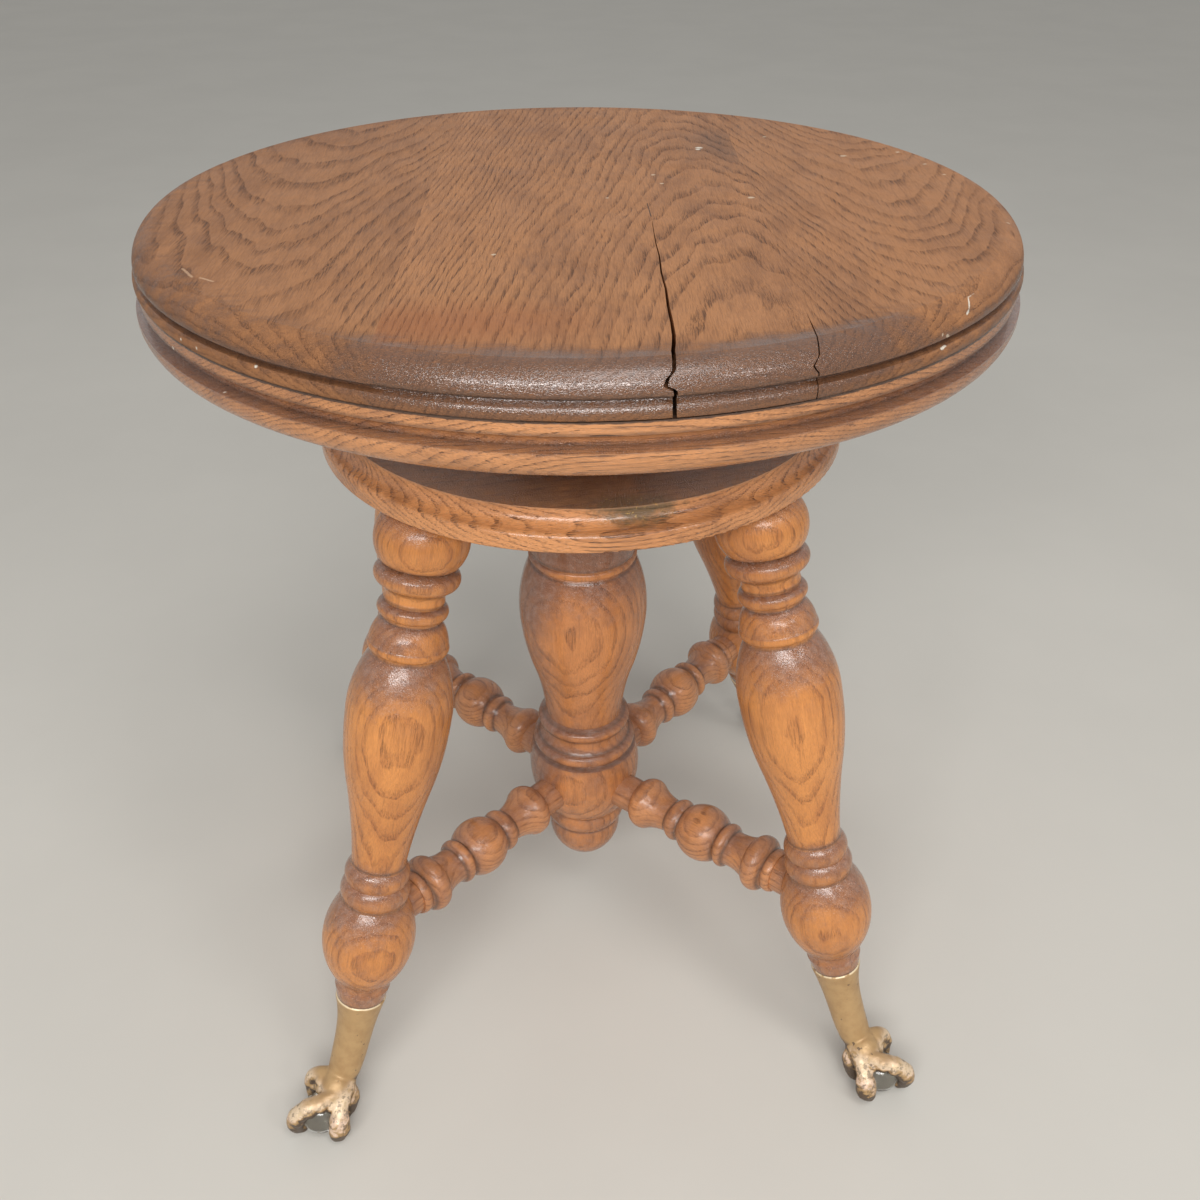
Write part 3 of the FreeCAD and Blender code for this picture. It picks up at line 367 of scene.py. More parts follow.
def make_varnish_group():
    """Dark varnish that has crazed into small raised islands, where the mask puts it, with a pale
    bloom that is partly whitened varnish and partly a painted sheen.
    """
    wire, take, give = new_group(
        "old varnish",
        [("Place", VECTOR), ("Colour", COLOUR), ("Varnish", COLOUR), ("Mask", VALUE),
         ("Bloom And Sheen", VALUE)],
        [("Colour", COLOUR), ("Height", VALUE), ("Cover", VALUE)])
    place = wire.vector("SCALE", take["Place"], scale=1000)
    patch = wire.noise(place, 0.12, 3, 0.6)
    cover = wire.scaled(wire.minus(patch, 0.5), 0.75, take["Mask"])
    cover = wire.times(wire.step(cover, 0.08, 0.86), wire.step(take["Mask"], 0, 0.12))
    wave = wire.noise(place, 0.55, 2, 0.5, True)
    bent = wire.vector("ADD", place, wire.vector("SCALE", wave, scale=1.8))
    islands = wire.step(wire.cells(bent, 1.15), 0, 0.26)
    ripple = wire.noise(place, 1.3, 2, 0.6)
    height = wire.scaled(ripple, 0.8, islands)
    height = wire.times(height, cover)
    veiled = wire.mix(wire.times(cover, 0.74), take["Colour"], take["Varnish"])
    gaps = wire.minus(1, islands)
    gaps = wire.times(gaps, wire.times(cover, 0.22))
    veiled = wire.mix(gaps, veiled, (0.06, 0.03, 0.02))
    # Pale bloom: partly the whitening of old crazed varnish, partly a painted sheen that stands for
    # its glints.
    bloom_and_sheen = wire.step(wire.noise(place, 0.3, 3, 0.6), 0.34, 0.8)
    bloom_and_sheen = wire.times(bloom_and_sheen, wire.times(cover, take["Bloom And Sheen"]))
    veiled = wire.mix(bloom_and_sheen, veiled, (0.7, 0.55, 0.48))
    wire.put(give["Colour"], veiled)
    wire.put(give["Height"], height)
    wire.put(give["Cover"], cover)


def make_line_group():
    """How near a point is to a straight line between two ends: 1 on it, 0 away from it."""
    wire, take, give = new_group(
        "line mark", [("Place", VECTOR), ("From", VECTOR), ("To", VECTOR), ("Width", VALUE)],
        [("Mask", VALUE)])
    run = wire.vector("SUBTRACT", take["To"], take["From"])
    away = wire.vector("SUBTRACT", take["Place"], take["From"])
    share = wire.math("DIVIDE", wire.vector("DOT_PRODUCT", away, run),
                      wire.vector("DOT_PRODUCT", run, run), clamp=True)
    nearest = wire.vector("SCALE", run, scale=share)
    gap = wire.vector("LENGTH", wire.vector("SUBTRACT", away, nearest))
    rough = wire.noise(take["Place"], 900, 2)
    gap = wire.times(gap, wire.scaled(rough, 1.2, 0.4))
    wire.put(give["Mask"], wire.step(wire.math("DIVIDE", gap, take["Width"]), 0.35, 0.75, 1, 0))


class STOOL_OT_mix_finishes(bpy.types.Operator):
    """Make the oak grain, the old varnish and the line marks that the finishes share"""
    bl_idname = "stool.mix_finishes"
    bl_label = "Mix Finishes"

    def execute(self, context):
        make_grain_group()
        make_varnish_group()
        make_line_group()
        return {"FINISHED"}


def grain_place(wire, along, face, heart):
    """The object's coordinates turned so that the grain runs along Z, from the tree's heart."""
    along = Vector(along).normalized()
    across = Vector(face).cross(along).normalized()
    through = along.cross(across)
    away = wire.vector("SUBTRACT", wire.place, Vector(heart))
    return wire.together(
        wire.vector("DOT_PRODUCT", away, across),
        wire.vector("DOT_PRODUCT", away, through),
        wire.vector("DOT_PRODUCT", away, along))


PALE_WOOD = (0.62, 0.47, 0.33)
FAINT_WOOD = (0.52, 0.31, 0.18)
WHITE_FLECK = (0.74, 0.66, 0.55)
DARK_MARK = (0.05, 0.028, 0.02)
FLECK_SHARE = 0.62
COAT_ROUGHNESS = 0.14
SEAM_RAGGED = 0.0008
SEAM_EDGE = (0.0008, 0.0013)
# Half width and strength of the painted shade in the turned grooves.
GROOVE_HALF = 1.2
GROOVE_SHADE = 0.62
# Where the turned grooves are, in mm: down the leg, above the floor, out from the screw.
LEG_GROOVES = (0.4, 28.9, 39.4, 45.4, 54.1, 70, 178.3, 198.8, 256.6)
POST_GROOVES = (68.8, 81.5, 123.6, 131.6, 138.8, 145.6, 242.5, 248.8, 316)
STRETCHER_GROOVES = (63.6, 71.5, 94.7, 101.4, 124)


def level_mask(wire, height, stops, low=None, high=None):
    """A mask by height or distance, given as (place in mm, level) stops, from low to high."""
    low = stops[0][0] if low is None else low
    high = stops[-1][0] if high is None else high
    share = wire.step(height, low * MM, high * MM, curve="LINEAR")
    return wire.ramp(share, [((place - low) / (high - low), level) for place, level in stops])


def groove_shade_mask(wire, distance, places):
    """Thin dark lines at the given places in mm: painted shade in the turned grooves."""
    stops = []
    for place in places:
        stops += [(place - GROOVE_HALF, 0), (place, GROOVE_SHADE), (place + GROOVE_HALF, 0)]
    return level_mask(wire, distance, stops, places[0] - 2, places[-1] + 2)


def height_above_floor(wire):
    return wire.apart(wire.place)[2]


def distance_from_screw(wire):
    x, y, _ = wire.apart(wire.place)
    return wire.length(x, y)


def direction(azimuth):
    spin = math.radians(azimuth)
    return Vector((math.cos(spin), math.sin(spin), 0))


def leg_line(number):
    """The leg's own axis, pointing down, and its top at the disc."""
    out = direction(LEG_AZIMUTHS[number])
    down = (out * math.sin(LEG_SPLAY) - UP * math.cos(LEG_SPLAY)).normalized()
    return down, Vector((out.x * LEG_TOP.x, out.y * LEG_TOP.x, LEG_TOP.z))


def leg_station(number):
    """Gives the distance down the leg's own axis from the disc."""
    down, top = leg_line(number)
    return lambda wire: wire.vector("DOT_PRODUCT", wire.vector("SUBTRACT", wire.place, top), down)


def oak_material(name, settings, along, face, heart, seed, light, dark, mask, ring, wander,
                 taper=0.03, contrast=1.05, marks=None, shine=0.26, film=None, bloom_and_sheen=0.2,
                 stretch=(1, 1, 1), gloss=0.1, coat=0.6, craze=0.62, pores=0.42, specular=0.5,
                 seam=None, grooves=None, thin_coat=0.22, film_share=0.09, film_index=1.5):
    """Oak under old varnish. mask says where the varnish is dark, marks adds spots and lines."""
    material, wire = new_material(name)
    shifted = wire.vector("ADD", grain_place(wire, along, face, heart), (0, 0, seed * 0.37))
    grain = use_group(wire, "oak grain", {
        "Place": shifted, "Light": wire.paint(light), "Dark": wire.paint(dark),
        "Pore": wire.paint(settings.pore), "Ring Width": settings.ring_width * ring,
        "Taper": taper, "Wander": wander, "Contrast": contrast, "Pore Strength": pores})
    cover = mask(wire, wire.apart(wire.normal)[2])
    varnish = use_group(wire, "old varnish", {
        "Place": wire.vector("MULTIPLY", wire.place, stretch), "Colour": grain["Colour"],
        "Varnish": wire.paint(film or settings.varnish), "Mask": cover, "Bloom And Sheen": bloom_and_sheen})
    colour = varnish["Colour"]
    if seam:
        gap = wire.minus(height_above_floor(wire), seam)
        ragged = wire.noise(wire.place, 320, 2)
        gap = wire.scaled(ragged, SEAM_RAGGED, wire.math("ABSOLUTE", gap))
        colour = wire.mix(wire.step(gap, *SEAM_EDGE, 0.92, 0), colour, DARK_MARK)
    if grooves:
        where, places = grooves
        # Painted shade: thin dark lines in the turned grooves.
        colour = wire.mix(groove_shade_mask(wire, where(wire), places), colour, DARK_MARK)
    if marks:
        colour = marks(wire, colour)
    smudge = wire.noise(wire.place, 55, 3, 0.6)
    rough = wire.scaled(smudge, 0.22, shine - 0.11)
    rough = wire.scaled(varnish["Cover"], -gloss, rough)
    rough = wire.scaled(grain["Early"], 0.06, rough)
    fine = wire.bump(grain["Height"], settings.pore_depth)
    normal = wire.bump(varnish["Height"], settings.craze_depth * craze, normal=fine)
    film_normal = wire.bump(varnish["Height"], settings.craze_depth * craze * film_share)
    thick = wire.math("POWER", varnish["Cover"], 2)
    wire.shade(Base_Color=colour, Roughness=rough, Normal=normal, Coat_Normal=film_normal,
               Specular_IOR_Level=specular, Coat_Weight=wire.scaled(thick, coat, thin_coat),
               Coat_Roughness=COAT_ROUGHNESS, Coat_IOR=film_index)
    return material


def dress(node, material):
    """Gives a node of the frame its material in place of the plain one."""
    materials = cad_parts[node].data.materials
    materials.clear()
    materials.append(material)


def spots(wire, colour, rows):
    """Small round marks: each (x, y, z in mm, radius in mm, colour)."""
    for x, y, z, radius, paint in rows:
        radius *= FLECK_SHARE
        centre = Vector((x, y, z)) * MM
        end = centre + Vector((radius * 0.6, radius * 0.3, 0)) * MM
        mark = use_group(wire, "line mark", {
            "Place": wire.place, "From": centre, "To": end, "Width": radius * 2.0 * MM})
        colour = wire.mix(mark["Mask"], colour, paint)
    return colour


def lines(wire, colour, rows):
    """Thin marks: each (start in mm, end in mm, width in mm, colour)."""
    for start, end, width, paint in rows:
        mark = use_group(wire, "line mark", {
            "Place": wire.place, "From": Vector(start) * MM, "To": Vector(end) * MM,
            "Width": width * MM})
        colour = wire.mix(mark["Mask"], colour, paint)
    return colour


def seat_cover(wire, facing):
    """Dark varnish on the seat's rounded front edge and in its grooves, thin on its top."""
    x, y, z = wire.apart(wire.place)
    out = wire.length(x, y)
    uneven = wire.scaled(wire.noise(wire.place, 45, 3), 0.01, out)
    edge = wire.step(uneven, 0.156, 0.1835)
    front = wire.times(wire.step(y, -0.08, -0.15), wire.step(x, -0.098, -0.058))
    front = wire.scaled(front, 0.52, 0.46)
    front = wire.times(front, wire.step(x, 0.066, 0.112, 1, 0.42))
    quirk = level_mask(wire, z, (
        (400, 0.4), (402, 0.16), (404.6, 0.16), (405.6, 1), (407.4, 1), (408.2, 0.7),
        (410.5, 0.4), (413, 0.05), (417, 0)))
    edge = wire.times(edge, front)
    bead = wire.times(wire.step(z, 0.4056, 0.404), wire.step(x, 0.06, 0.11))
    quirk = wire.scaled(bead, 0.34, quirk)
    edge = wire.times(edge, wire.step(z, 0.402, 0.4056, 0.62, 1))
    return wire.larger(edge, wire.times(quirk, wire.step(out, 0.16, 0.168)))


def centre_marks(wire, colour):
    """The chip, the stain round it and the slot beside it, and the reddened front."""
    x, y, _ = wire.apart(wire.place)
    stain = wire.length(wire.times(wire.minus(x, 0.071), 2.2), wire.minus(y, 0.082))
    stain = wire.scaled(wire.noise(wire.place, 60, 3), 0.03, stain)
    colour = wire.mix(wire.step(stain, 0.014, 0.074, 0.46, 0), colour, (0.075, 0.045, 0.035))
    red = wire.length(wire.plus(x, 0.052), wire.times(wire.plus(y, 0.138), 2.4))
    colour = wire.mix(wire.step(red, 0.004, 0.068, 0.55, 0), colour, (0.3, 0.095, 0.03))
    colour = spots(wire, colour, (
        (61, 77, 417, 1.9, WHITE_FLECK), (60.2, 74, 417, 1.3, WHITE_FLECK),
        (34, 31, 417, 1.1, PALE_WOOD), (70, -7, 417, 1.5, PALE_WOOD),
        (36, 17, 417, 1, PALE_WOOD), (-36, -72, 417, 1, PALE_WOOD),
        (11, -3, 417, 0.8, PALE_WOOD)))
    return lines(wire, colour, (
        ((84, 62, 417), (84.6, 49, 417), 1.7, DARK_MARK),
        ((26.1, -30, 417), (26.6, -12, 417), 0.35, DARK_MARK),
        ((-28, -174.2, 408), (66, -165.5, 408), 0.8, DARK_MARK)))


def right_marks(wire, colour):
    """The V scratch near the front, and the small nicks of the right board."""
    colour = spots(wire, colour, (
        (125, 57, 417, 1.6, PALE_WOOD), (152, 62, 417, 1.2, PALE_WOOD),
        (158, 40, 417, 1, PALE_WOOD), (163, -48, 416, 1.2, PALE_WOOD),
        (96, 96, 417, 1, PALE_WOOD), (161, 22, 417, 0.9, PALE_WOOD)))
    return lines(wire, colour, (
        ((127.7, -116.9, 415.8), (121.9, -123.3, 415.5), 0.6, WHITE_FLECK),
        ((121.9, -123.3, 415.5), (121.1, -127.9, 412.6), 0.7, WHITE_FLECK),
        ((121.1, -127.9, 412.6), (119.8, -129, 411.8), 0.8, WHITE_FLECK),
        ((107.9, -138, 410.6), (108.6, -141, 408.6), 0.7, PALE_WOOD),
        ((110.6, -138.6, 408.2), (111.2, -137.6, 407.6), 0.9, PALE_WOOD),
        ((108.6, -140.6, 404.6), (110.4, -139, 405), 0.8, WHITE_FLECK),
        ((84, -156, 411.5), (96, -149, 412.5), 0.8, PALE_WOOD)))


def left_marks(wire, colour):
    """Scuffs and flecks of the left board and its rim."""
    colour = spots(wire, colour, (
        (-112, -138.5, 405, 0.9, WHITE_FLECK), (-134, -117, 403, 0.9, WHITE_FLECK),
        (-157, -84, 407, 0.8, WHITE_FLECK), (-141, -109, 403, 0.7, WHITE_FLECK)))
    return lines(wire, colour, (
        ((-144, -79, 417), (-139, -88, 417), 0.9, FAINT_WOOD),
        ((-136, -89, 417), (-131, -93, 417), 0.8, FAINT_WOOD)))


def under_cover(wire, facing):
    """Darker varnish in the under board's cove, and to the left and right."""
    x, _, z = wire.apart(wire.place)
    level = level_mask(wire, z, (
        (380, 0.45), (384, 0.06), (389.5, 0.04), (390.8, 0.34), (392.2, 0.48),
        (395, 0.16), (396.5, 0.02), (400.2, 0.06)))
    side = wire.step(wire.math("ABSOLUTE", x), 0.06, 0.17, 0.06, 0.46)
    return wire.plus(level, side)


def under_marks(wire, colour):
    return spots(wire, colour, (
        (-147, -99, 396, 0.9, WHITE_FLECK), (-139, -110, 394, 0.8, WHITE_FLECK),
        (-126, -126, 391.5, 0.9, WHITE_FLECK), (-106, -144, 396.5, 0.8, WHITE_FLECK),
        (23, -177, 394.5, 1, WHITE_FLECK), (-97, -150, 392, 0.8, WHITE_FLECK)))


# Each board's side, its tree's heart and seed, how pale it is, and its taper, wander,
# contrast and ring width.
SEAT_BOARDS = (
    ("left", (-0.116, 0.03, 0.335), 3, 0.9, -0.11, 13, 1, 0.95, left_marks),
    ("centre", (0.052, 0, 0.345), 8, 1, 0.1, 14, 1.1, 0.8, centre_marks),
    ("right", (0.132, -0.02, 0.352), 14, 0.95, -0.16, 11, 1.05, 0.9, right_marks),
)


class STOOL_OT_finish_seat(bpy.types.Operator):
    """Give the three seat boards and the board under them their oak and old varnish"""
    bl_idname = "stool.finish_seat"
    bl_label = "Finish Seat"

    def execute(self, context):
        oak = context.scene.stool_oak
        seat = {"mask": seat_cover, "shine": 0.5, "film": oak.nose_varnish, "gloss": 0.04,
                "stretch": (0.62, 1.9, 1.7), "bloom_and_sheen": 0, "coat": 1, "craze": 0.9,
                "pores": 0.8, "specular": 0.22, "thin_coat": 0, "film_share": 0.13,
                "film_index": 1.66, "seam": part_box("seat_board_left")[0].z}
        for side, heart, seed, tint, taper, wander, contrast, ring, marks in SEAT_BOARDS:
            material = oak_material(
                side + " board oak", oak, BOARD_DIRECTION, UP, heart, seed,
                Vector(oak.seat_light) * tint, Vector(oak.seat_dark) * tint, taper=taper,
                wander=wander, contrast=contrast, ring=ring, marks=marks, **seat)
            dress("seat_board_" + side, material)
        under = oak_material(
            "under board oak", oak, (1, 0.03, 0), UP, (0, 0.02, 0.66), 21,
            (0.6, 0.265, 0.105), (0.32, 0.135, 0.056), taper=0.05, wander=16, contrast=1.25,
            ring=0.5, mask=under_cover, marks=under_marks, pores=0.9, bloom_and_sheen=0.15,
            grooves=(height_above_floor, (391.4, 395.9)), seam=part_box("seat_under_board")[1].z)
        dress("seat_under_board", under)
        return {"FINISHED"}


# The crack in the seat

CRACK_FADE_RUN = 14.0
CRACK_TIP_SHARE = 0.02
JOINT_X = 72.6 / 0.9978
JOINT_SLANT = 0.0664
JOINT_INSET = 0.22
JOINT_START = -136
JOINT_WIDTH = 0.00055
GLUE_GAP_STEPS = 24
GLUE_GAP_LEAST = 0.00005
GLUE_GAP_INNER = 0.168
GLUE_GAP_OUTER = 0.182
LEAST_FACES_LEFT = 0.5
# Points of the crack in mm, each with its share of the full width, then the levels of the
# two wedges with how far each level is moved sideways.
CRACK_TABLE = (
    (26, -33, 0), (25.2, -44, 0.2), (24, -62, 0.3), (23.4, -78, 0.42),
    (21.9, -96, 0.52), (21.4, -112, 0.6), (20.1, -128, 0.78), (19.4, -142, 0.84),
    (18.6, -153, 0.95), (17.6, -160, 1), (16.6, -165, 1), (15.4, -183, 1),
)
CRACK_LEVELS = ((399, 0.6), (404, 0.3), (407.8, 0.7), (409, 0.5), (410.6, -3),
                (412.2, -2.4), (414.4, 0), (419, 0.4))
JOINT_LEVELS = ((399, 0), (405, 0.2), (408.6, 0.1), (411, -1.8), (413.6, 0),
                (419, 0.1))


def new_piece(name, data, material=None):
    piece = bpy.data.objects.new(name, data)
    bpy.context.scene.collection.objects.link(piece)
    if material:
        data.materials.append(material)
    return piece


def finished_mesh(name, mesh):
    data = bpy.data.meshes.new(name)
    mesh.to_mesh(data)
    mesh.free()
    return data


def apply_modifiers(piece):
    bpy.context.view_layer.update()
    view = bpy.context.evaluated_depsgraph_get()
    data = bpy.data.meshes.new_from_object(piece.evaluated_get(view))
    piece.modifiers.clear()
    piece.data = data


def closed_wedge(name, rings):
    """A solid skin over rings of points, with a cap at each end."""
    mesh = bmesh.new()
    rings = [[mesh.verts.new(point) for point in ring] for ring in rings]
    for lower, upper in zip(rings, rings[1:]):
        for number in range(len(lower)):
            following = (number + 1) % len(lower)
            mesh.faces.new((lower[number], lower[following], upper[following], upper[number]))
    mesh.faces.new(rings[0][::-1])
    mesh.faces.new(rings[-1])
    bmesh.ops.triangulate(mesh, faces=[face for face in mesh.faces if len(face.verts) > 4])
    bmesh.ops.recalc_face_normals(mesh, faces=mesh.faces)
    return finished_mesh(name, mesh)


def crack_wedge(name, rows, levels, width, fade):
    """A zigzag wedge through the board, each level moved sideways near the rim."""
    rings = []
    for height, shift in levels:
        ring = []
        for side in (-0.5, 0.5):
            for x, y, share in rows if side < 0 else rows[::-1]:
                moved = shift * min(1, max(0, (fade - y) / CRACK_FADE_RUN))
                half = max(share, CRACK_TIP_SHARE) * side * width
                ring.append(((x + moved) * MM + half, y * MM, height * MM))
        rings.append(ring)
    return closed_wedge(name, rings)


def glue_gap_wedge(name, gap, start, end):
    """A thin open wedge between the boards at the seat's front edge."""
    rings = []
    for number in range(GLUE_GAP_STEPS + 1):
        share = number / GLUE_GAP_STEPS
        out = direction(start + (end - start) * share)
        opening = gap * math.sin(math.pi * share) ** 0.35 + GLUE_GAP_LEAST
        inner = out * GLUE_GAP_INNER
        outer = out * GLUE_GAP_OUTER
        rings.append((inner + UP * 0.399, outer + UP * 0.399, outer + UP * (0.4002 + opening),
                      inner + UP * 0.40025))
    return closed_wedge(name, rings)


def carved(name, source, cutters):
    """A copy of a node with every cutter taken out of it."""
    piece = new_piece(name, source.data.copy())
    tools = []
    for number, data in enumerate(cutters):
        tool = new_piece("%s_tool_%d" % (name, number), data)
        cut = piece.modifiers.new("cut %d" % number, "BOOLEAN")
        cut.operation = "DIFFERENCE"
        cut.solver = "EXACT"
        cut.object = tool
        tools.append(tool)
    apply_modifiers(piece)
    for tool in tools:
        bpy.data.objects.remove(tool)
    return piece


class STOOL_OT_crack_seat(bpy.types.Operator):
    """Open the crack, the split joint and the front glue line in the seat's centre board"""
    bl_idname = "stool.crack_seat"
    bl_label = "Crack Seat"

    def execute(self, context):
        crack = context.scene.stool_crack
        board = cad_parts["seat_board_centre"]
        joint = [(JOINT_X + y * JOINT_SLANT - JOINT_INSET, y, min(1, (JOINT_START - y) / 18))
                 for y in (-138, -144, -150, -156, -161, -166, -183)]
        piece = carved("seat_centre_board_cracked", board, (
            crack_wedge("crack wedge", CRACK_TABLE, CRACK_LEVELS, crack.width, -156),
            crack_wedge("joint wedge", joint, JOINT_LEVELS, JOINT_WIDTH, -150),
            glue_gap_wedge("glue wedge", crack.glue_gap, 258.5, 292.5)))
        if len(piece.data.polygons) < len(board.data.polygons) * LEAST_FACES_LEFT:
            raise RuntimeError("the crack took away too much of the centre board")
        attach(piece, "seat")
        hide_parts("seat_board_centre")
        return {"FINISHED"}


# The base

def disc_cover(wire, facing):
    """Dark varnish on the disc's flat top and thin along its cove."""
    z = height_above_floor(wire)
    top = wire.times(wire.step(facing, 0.8, 0.98), wire.step(z, 0.3306, 0.3314))
    top = wire.times(top, 0.58)
    level = level_mask(wire, z, (
        (316.5, 0.25), (318, 0.05), (323, 0.02), (324.6, 0.22), (325.6, 0.04),
        (329, 0.06), (331, 0.14), (332, 0.14)))
    under = wire.step(facing, -0.6, -0.9, 0, 0.4)
    return wire.larger(wire.larger(top, level), under)


def disc_marks(wire, colour):
    """The greenish stain with its yellow flecks on the disc's front edge."""
    x, y, z = wire.apart(wire.place)
    away = wire.length(wire.times(wire.minus(x, 0.013), 0.42), wire.plus(y, 0.107),
                       wire.times(wire.minus(z, 0.3315), 0.8))
    away = wire.scaled(wire.noise(wire.place, 260, 4, 0.7), 0.01, away)
    stain = wire.step(away, 0.0085, 0.0145, 0.85, 0)
    colour = wire.mix(stain, colour, (0.115, 0.085, 0.042))
    flecks = wire.step(wire.noise(wire.place, 420, 3, 0.8), 0.6, 0.68)
    yellow = wire.times(stain, flecks)
    colour = wire.mix(yellow, colour, (0.62, 0.38, 0.1))
    arris = wire.step(wire.math("ABSOLUTE", wire.minus(z, 0.3318)), 0, 0.0007, 0.5, 0)
    colour = wire.mix(arris, colour, (0.45, 0.235, 0.12))
    return spots(wire, colour, (
        (-13, -116, 320, 0.8, WHITE_FLECK), (-47, -98, 331, 0.7, PALE_WOOD)))


def post_cover(wire, facing):
    """Brown varnish over the post's collar, its lower ball and its drop, and a darker left side that
    is partly varnish and partly a painted shadow of the front left leg.
    """
    x, _, z = wire.apart(wire.place)
    level = level_mask(wire, z, (
        (39, 0.55), (55, 0.4), (68, 0.42), (81, 0.36), (95, 0.2), (120, 0.28),
        (125, 0.46), (131, 0.32), (139, 0.42), (146, 0.38), (160, 0.18), (188, 0),
        (206, 0), (226, 0.3), (241, 0.62), (243.4, 0.14), (247.8, 0.14), (249, 0.8),
        (316, 0.9)), 33, 316.5)
    # Darker down the post's left side: partly dirtier varnish, partly a painted shadow of the front
    # left leg.
    level = wire.scaled(wire.step(x, -0.008, -0.028), 0.42, level)
    return wire.scaled(wire.step(facing, 0.15, 0.85), 0.3, level)


def stretcher_cover(wire, facing):
    """Brown varnish over the stretchers' upper faces."""
    level = level_mask(wire, distance_from_screw(wire), (
        (30, 0.4), (42, 0.4), (47, 0.12), (62, 0.36), (64, 0.48), (67, 0.18),
        (71.5, 0.5), (76, 0.16), (83, 0), (90, 0.16), (94.5, 0.48), (98, 0.12),
        (101, 0.48), (108, 0.22), (123, 0.3), (124, 0.5), (128, 0.15), (135, 0.45)))
    return wire.plus(level, wire.step(facing, -0.1, 0.9, 0, 0.14))


def leg_cover(number):
    """Dark varnish on a leg's upward faces, in its grooves and on its end band."""
    def cover(wire, facing):
        bands = level_mask(wire, leg_station(number)(wire), (
            (0, 0.3), (4, 0.08), (26, 0.05), (28.8, 0.66), (30.5, 0.36), (36, 0.28),
            (38.9, 0.42), (41, 0.1), (44.5, 0.12), (46, 0.5), (49, 0.28), (53, 0.22),
            (54.5, 0.52), (57, 0.14), (61, 0.28), (64.4, 0.42), (66, 0.06), (69, 0.08),
            (70.4, 0.62), (74, 0.52), (84, 0.34), (98, 0.1), (150, 0), (172, 0.16),
            (178.5, 0.5), (198, 0.5), (206, 0.36), (220, 0.2), (236, 0.3), (243, 0.5),
            (257, 0.7)))
        return wire.scaled(wire.step(facing, 0.18, 0.85), 0.44, bands)

    return cover


class STOOL_OT_finish_base(bpy.types.Operator):
    """Give the base disc and the centre post their oak"""
    bl_idname = "stool.finish_base"
    bl_label = "Finish Base"

    def execute(self, context):
        oak = context.scene.stool_oak
        disc = oak_material(
            "base disc oak", oak, (1, 0.05, 0), UP, (0, 0.03, 0.08), 31,
            (0.71, 0.31, 0.118), (0.4, 0.165, 0.064), taper=0.05, wander=16, ring=0.6,
            contrast=1.25, mask=disc_cover, marks=disc_marks, shine=0.24,
            film=(0.125, 0.054, 0.028), pores=0.9, bloom_and_sheen=0.06, coat=0.12)
        post = oak_material(
            "centre post oak", oak, UP, (0.35, -1, 0), (0.012, 0.03, 0), 37,
            (0.65, 0.255, 0.082), (0.4, 0.148, 0.05), wander=9, ring=0.9,
            mask=post_cover, film=(0.26, 0.098, 0.052),
            grooves=(height_above_floor, POST_GROOVES))
        dress("base_disc", disc)
        dress("centre_post", post)
        return {"FINISHED"}


class STOOL_OT_finish_legs(bpy.types.Operator):
    """Give each leg its oak, with the rings' ovals on the vase that faces out"""
    bl_idname = "stool.finish_legs"
    bl_label = "Finish Legs"

    def execute(self, context):
        oak = context.scene.stool_oak
        for number, face in LEG_FACES.items():
            down, top = leg_line(number)
            face = Vector(face).normalized()
            material = oak_material(
                "leg %d oak" % number, oak, down, face, top - face * LEG_HEART_DEPTH, 40 + number,
                oak.turned_light, oak.turned_dark, taper=0.012, wander=8, ring=0.95,
                mask=leg_cover(number), shine=0.27,
                grooves=(leg_station(number), LEG_GROOVES))
            dress("leg_%d" % number, material)
        return {"FINISHED"}


def hub_residue(wire, colour):
    """Old glue and filler round the front left stretcher's shoulder at the post."""
    return spots(wire, colour, (
        (-26, -31, 107, 3.4, (0.5, 0.36, 0.2)), (-29, -34, 110, 2.4, (0.42, 0.28, 0.15))))


class STOOL_OT_finish_stretchers(bpy.types.Operator):
    """Give each stretcher its browner oak"""
    bl_idname = "stool.finish_stretchers"
    bl_label = "Finish Stretchers"

    def execute(self, context):
        oak = context.scene.stool_oak
        for number, azimuth in LEG_AZIMUTHS.items():
            along = direction(azimuth) + UP * math.tan(STRETCHER_RISE)
            material = oak_material(
                "stretcher %d oak" % number, oak, along, (0, -0.4, 1),
                STRETCHER_HEART, 60 + number,
                (0.64, 0.275, 0.105), (0.39, 0.16, 0.066), taper=0.02, wander=6, ring=0.7,
                mask=stretcher_cover, marks=hub_residue if number == 3 else None,
                shine=0.22, grooves=(distance_from_screw, STRETCHER_GROOVES))
            dress("stretcher_%d" % number, material)
        return {"FINISHED"}


# Metal, thread and glass

# Additions to each cast foot: a direction from the ball's centre (degrees round from
# the outward side towards the stool's front, degrees above the level), then the
# distance and the radius as shares of the ball's radius.
FOOT_LUMPS = (
    (178, 46, 1.77, 0.86), (168, 52, 1.62, 0.8), (152, 52, 1.52, 0.66),
    (138, 56, 1.4, 0.58), (122, 56, 1.32, 0.5), (108, 56, 1.28, 0.4),
    (-168, 50, 1.62, 0.64), (-150, 44, 1.48, 0.54), (-134, 38, 1.42, 0.46),
    (-122, 28, 1.34, 0.42), (-142, 30, 1.36, 0.5), (-130, 18, 1.3, 0.44),
    (-146, 58, 1.62, 0.42), (62, 71, 1.38, 0.46), (4, 58, 1.38, 0.5),
    (-14, 30, 1.38, 0.5), (94, 18, 1.4, 0.53), (89, 2, 1.4, 0.52),
    (-115, 10, 1.46, 0.45), (154, 16, 1.54, 0.48),
)
FOOT_SIDES = {1: 1, 2: -1, 3: 1, 4: -1}
CAST_GRAIN = 0.00055
CAST_NOISE = ((260, 0.00042), (700, 0.00016))
PAW_TOP = 0.03
PAW_FADE = 0.008
BALL_CLEARANCE = 0.00005


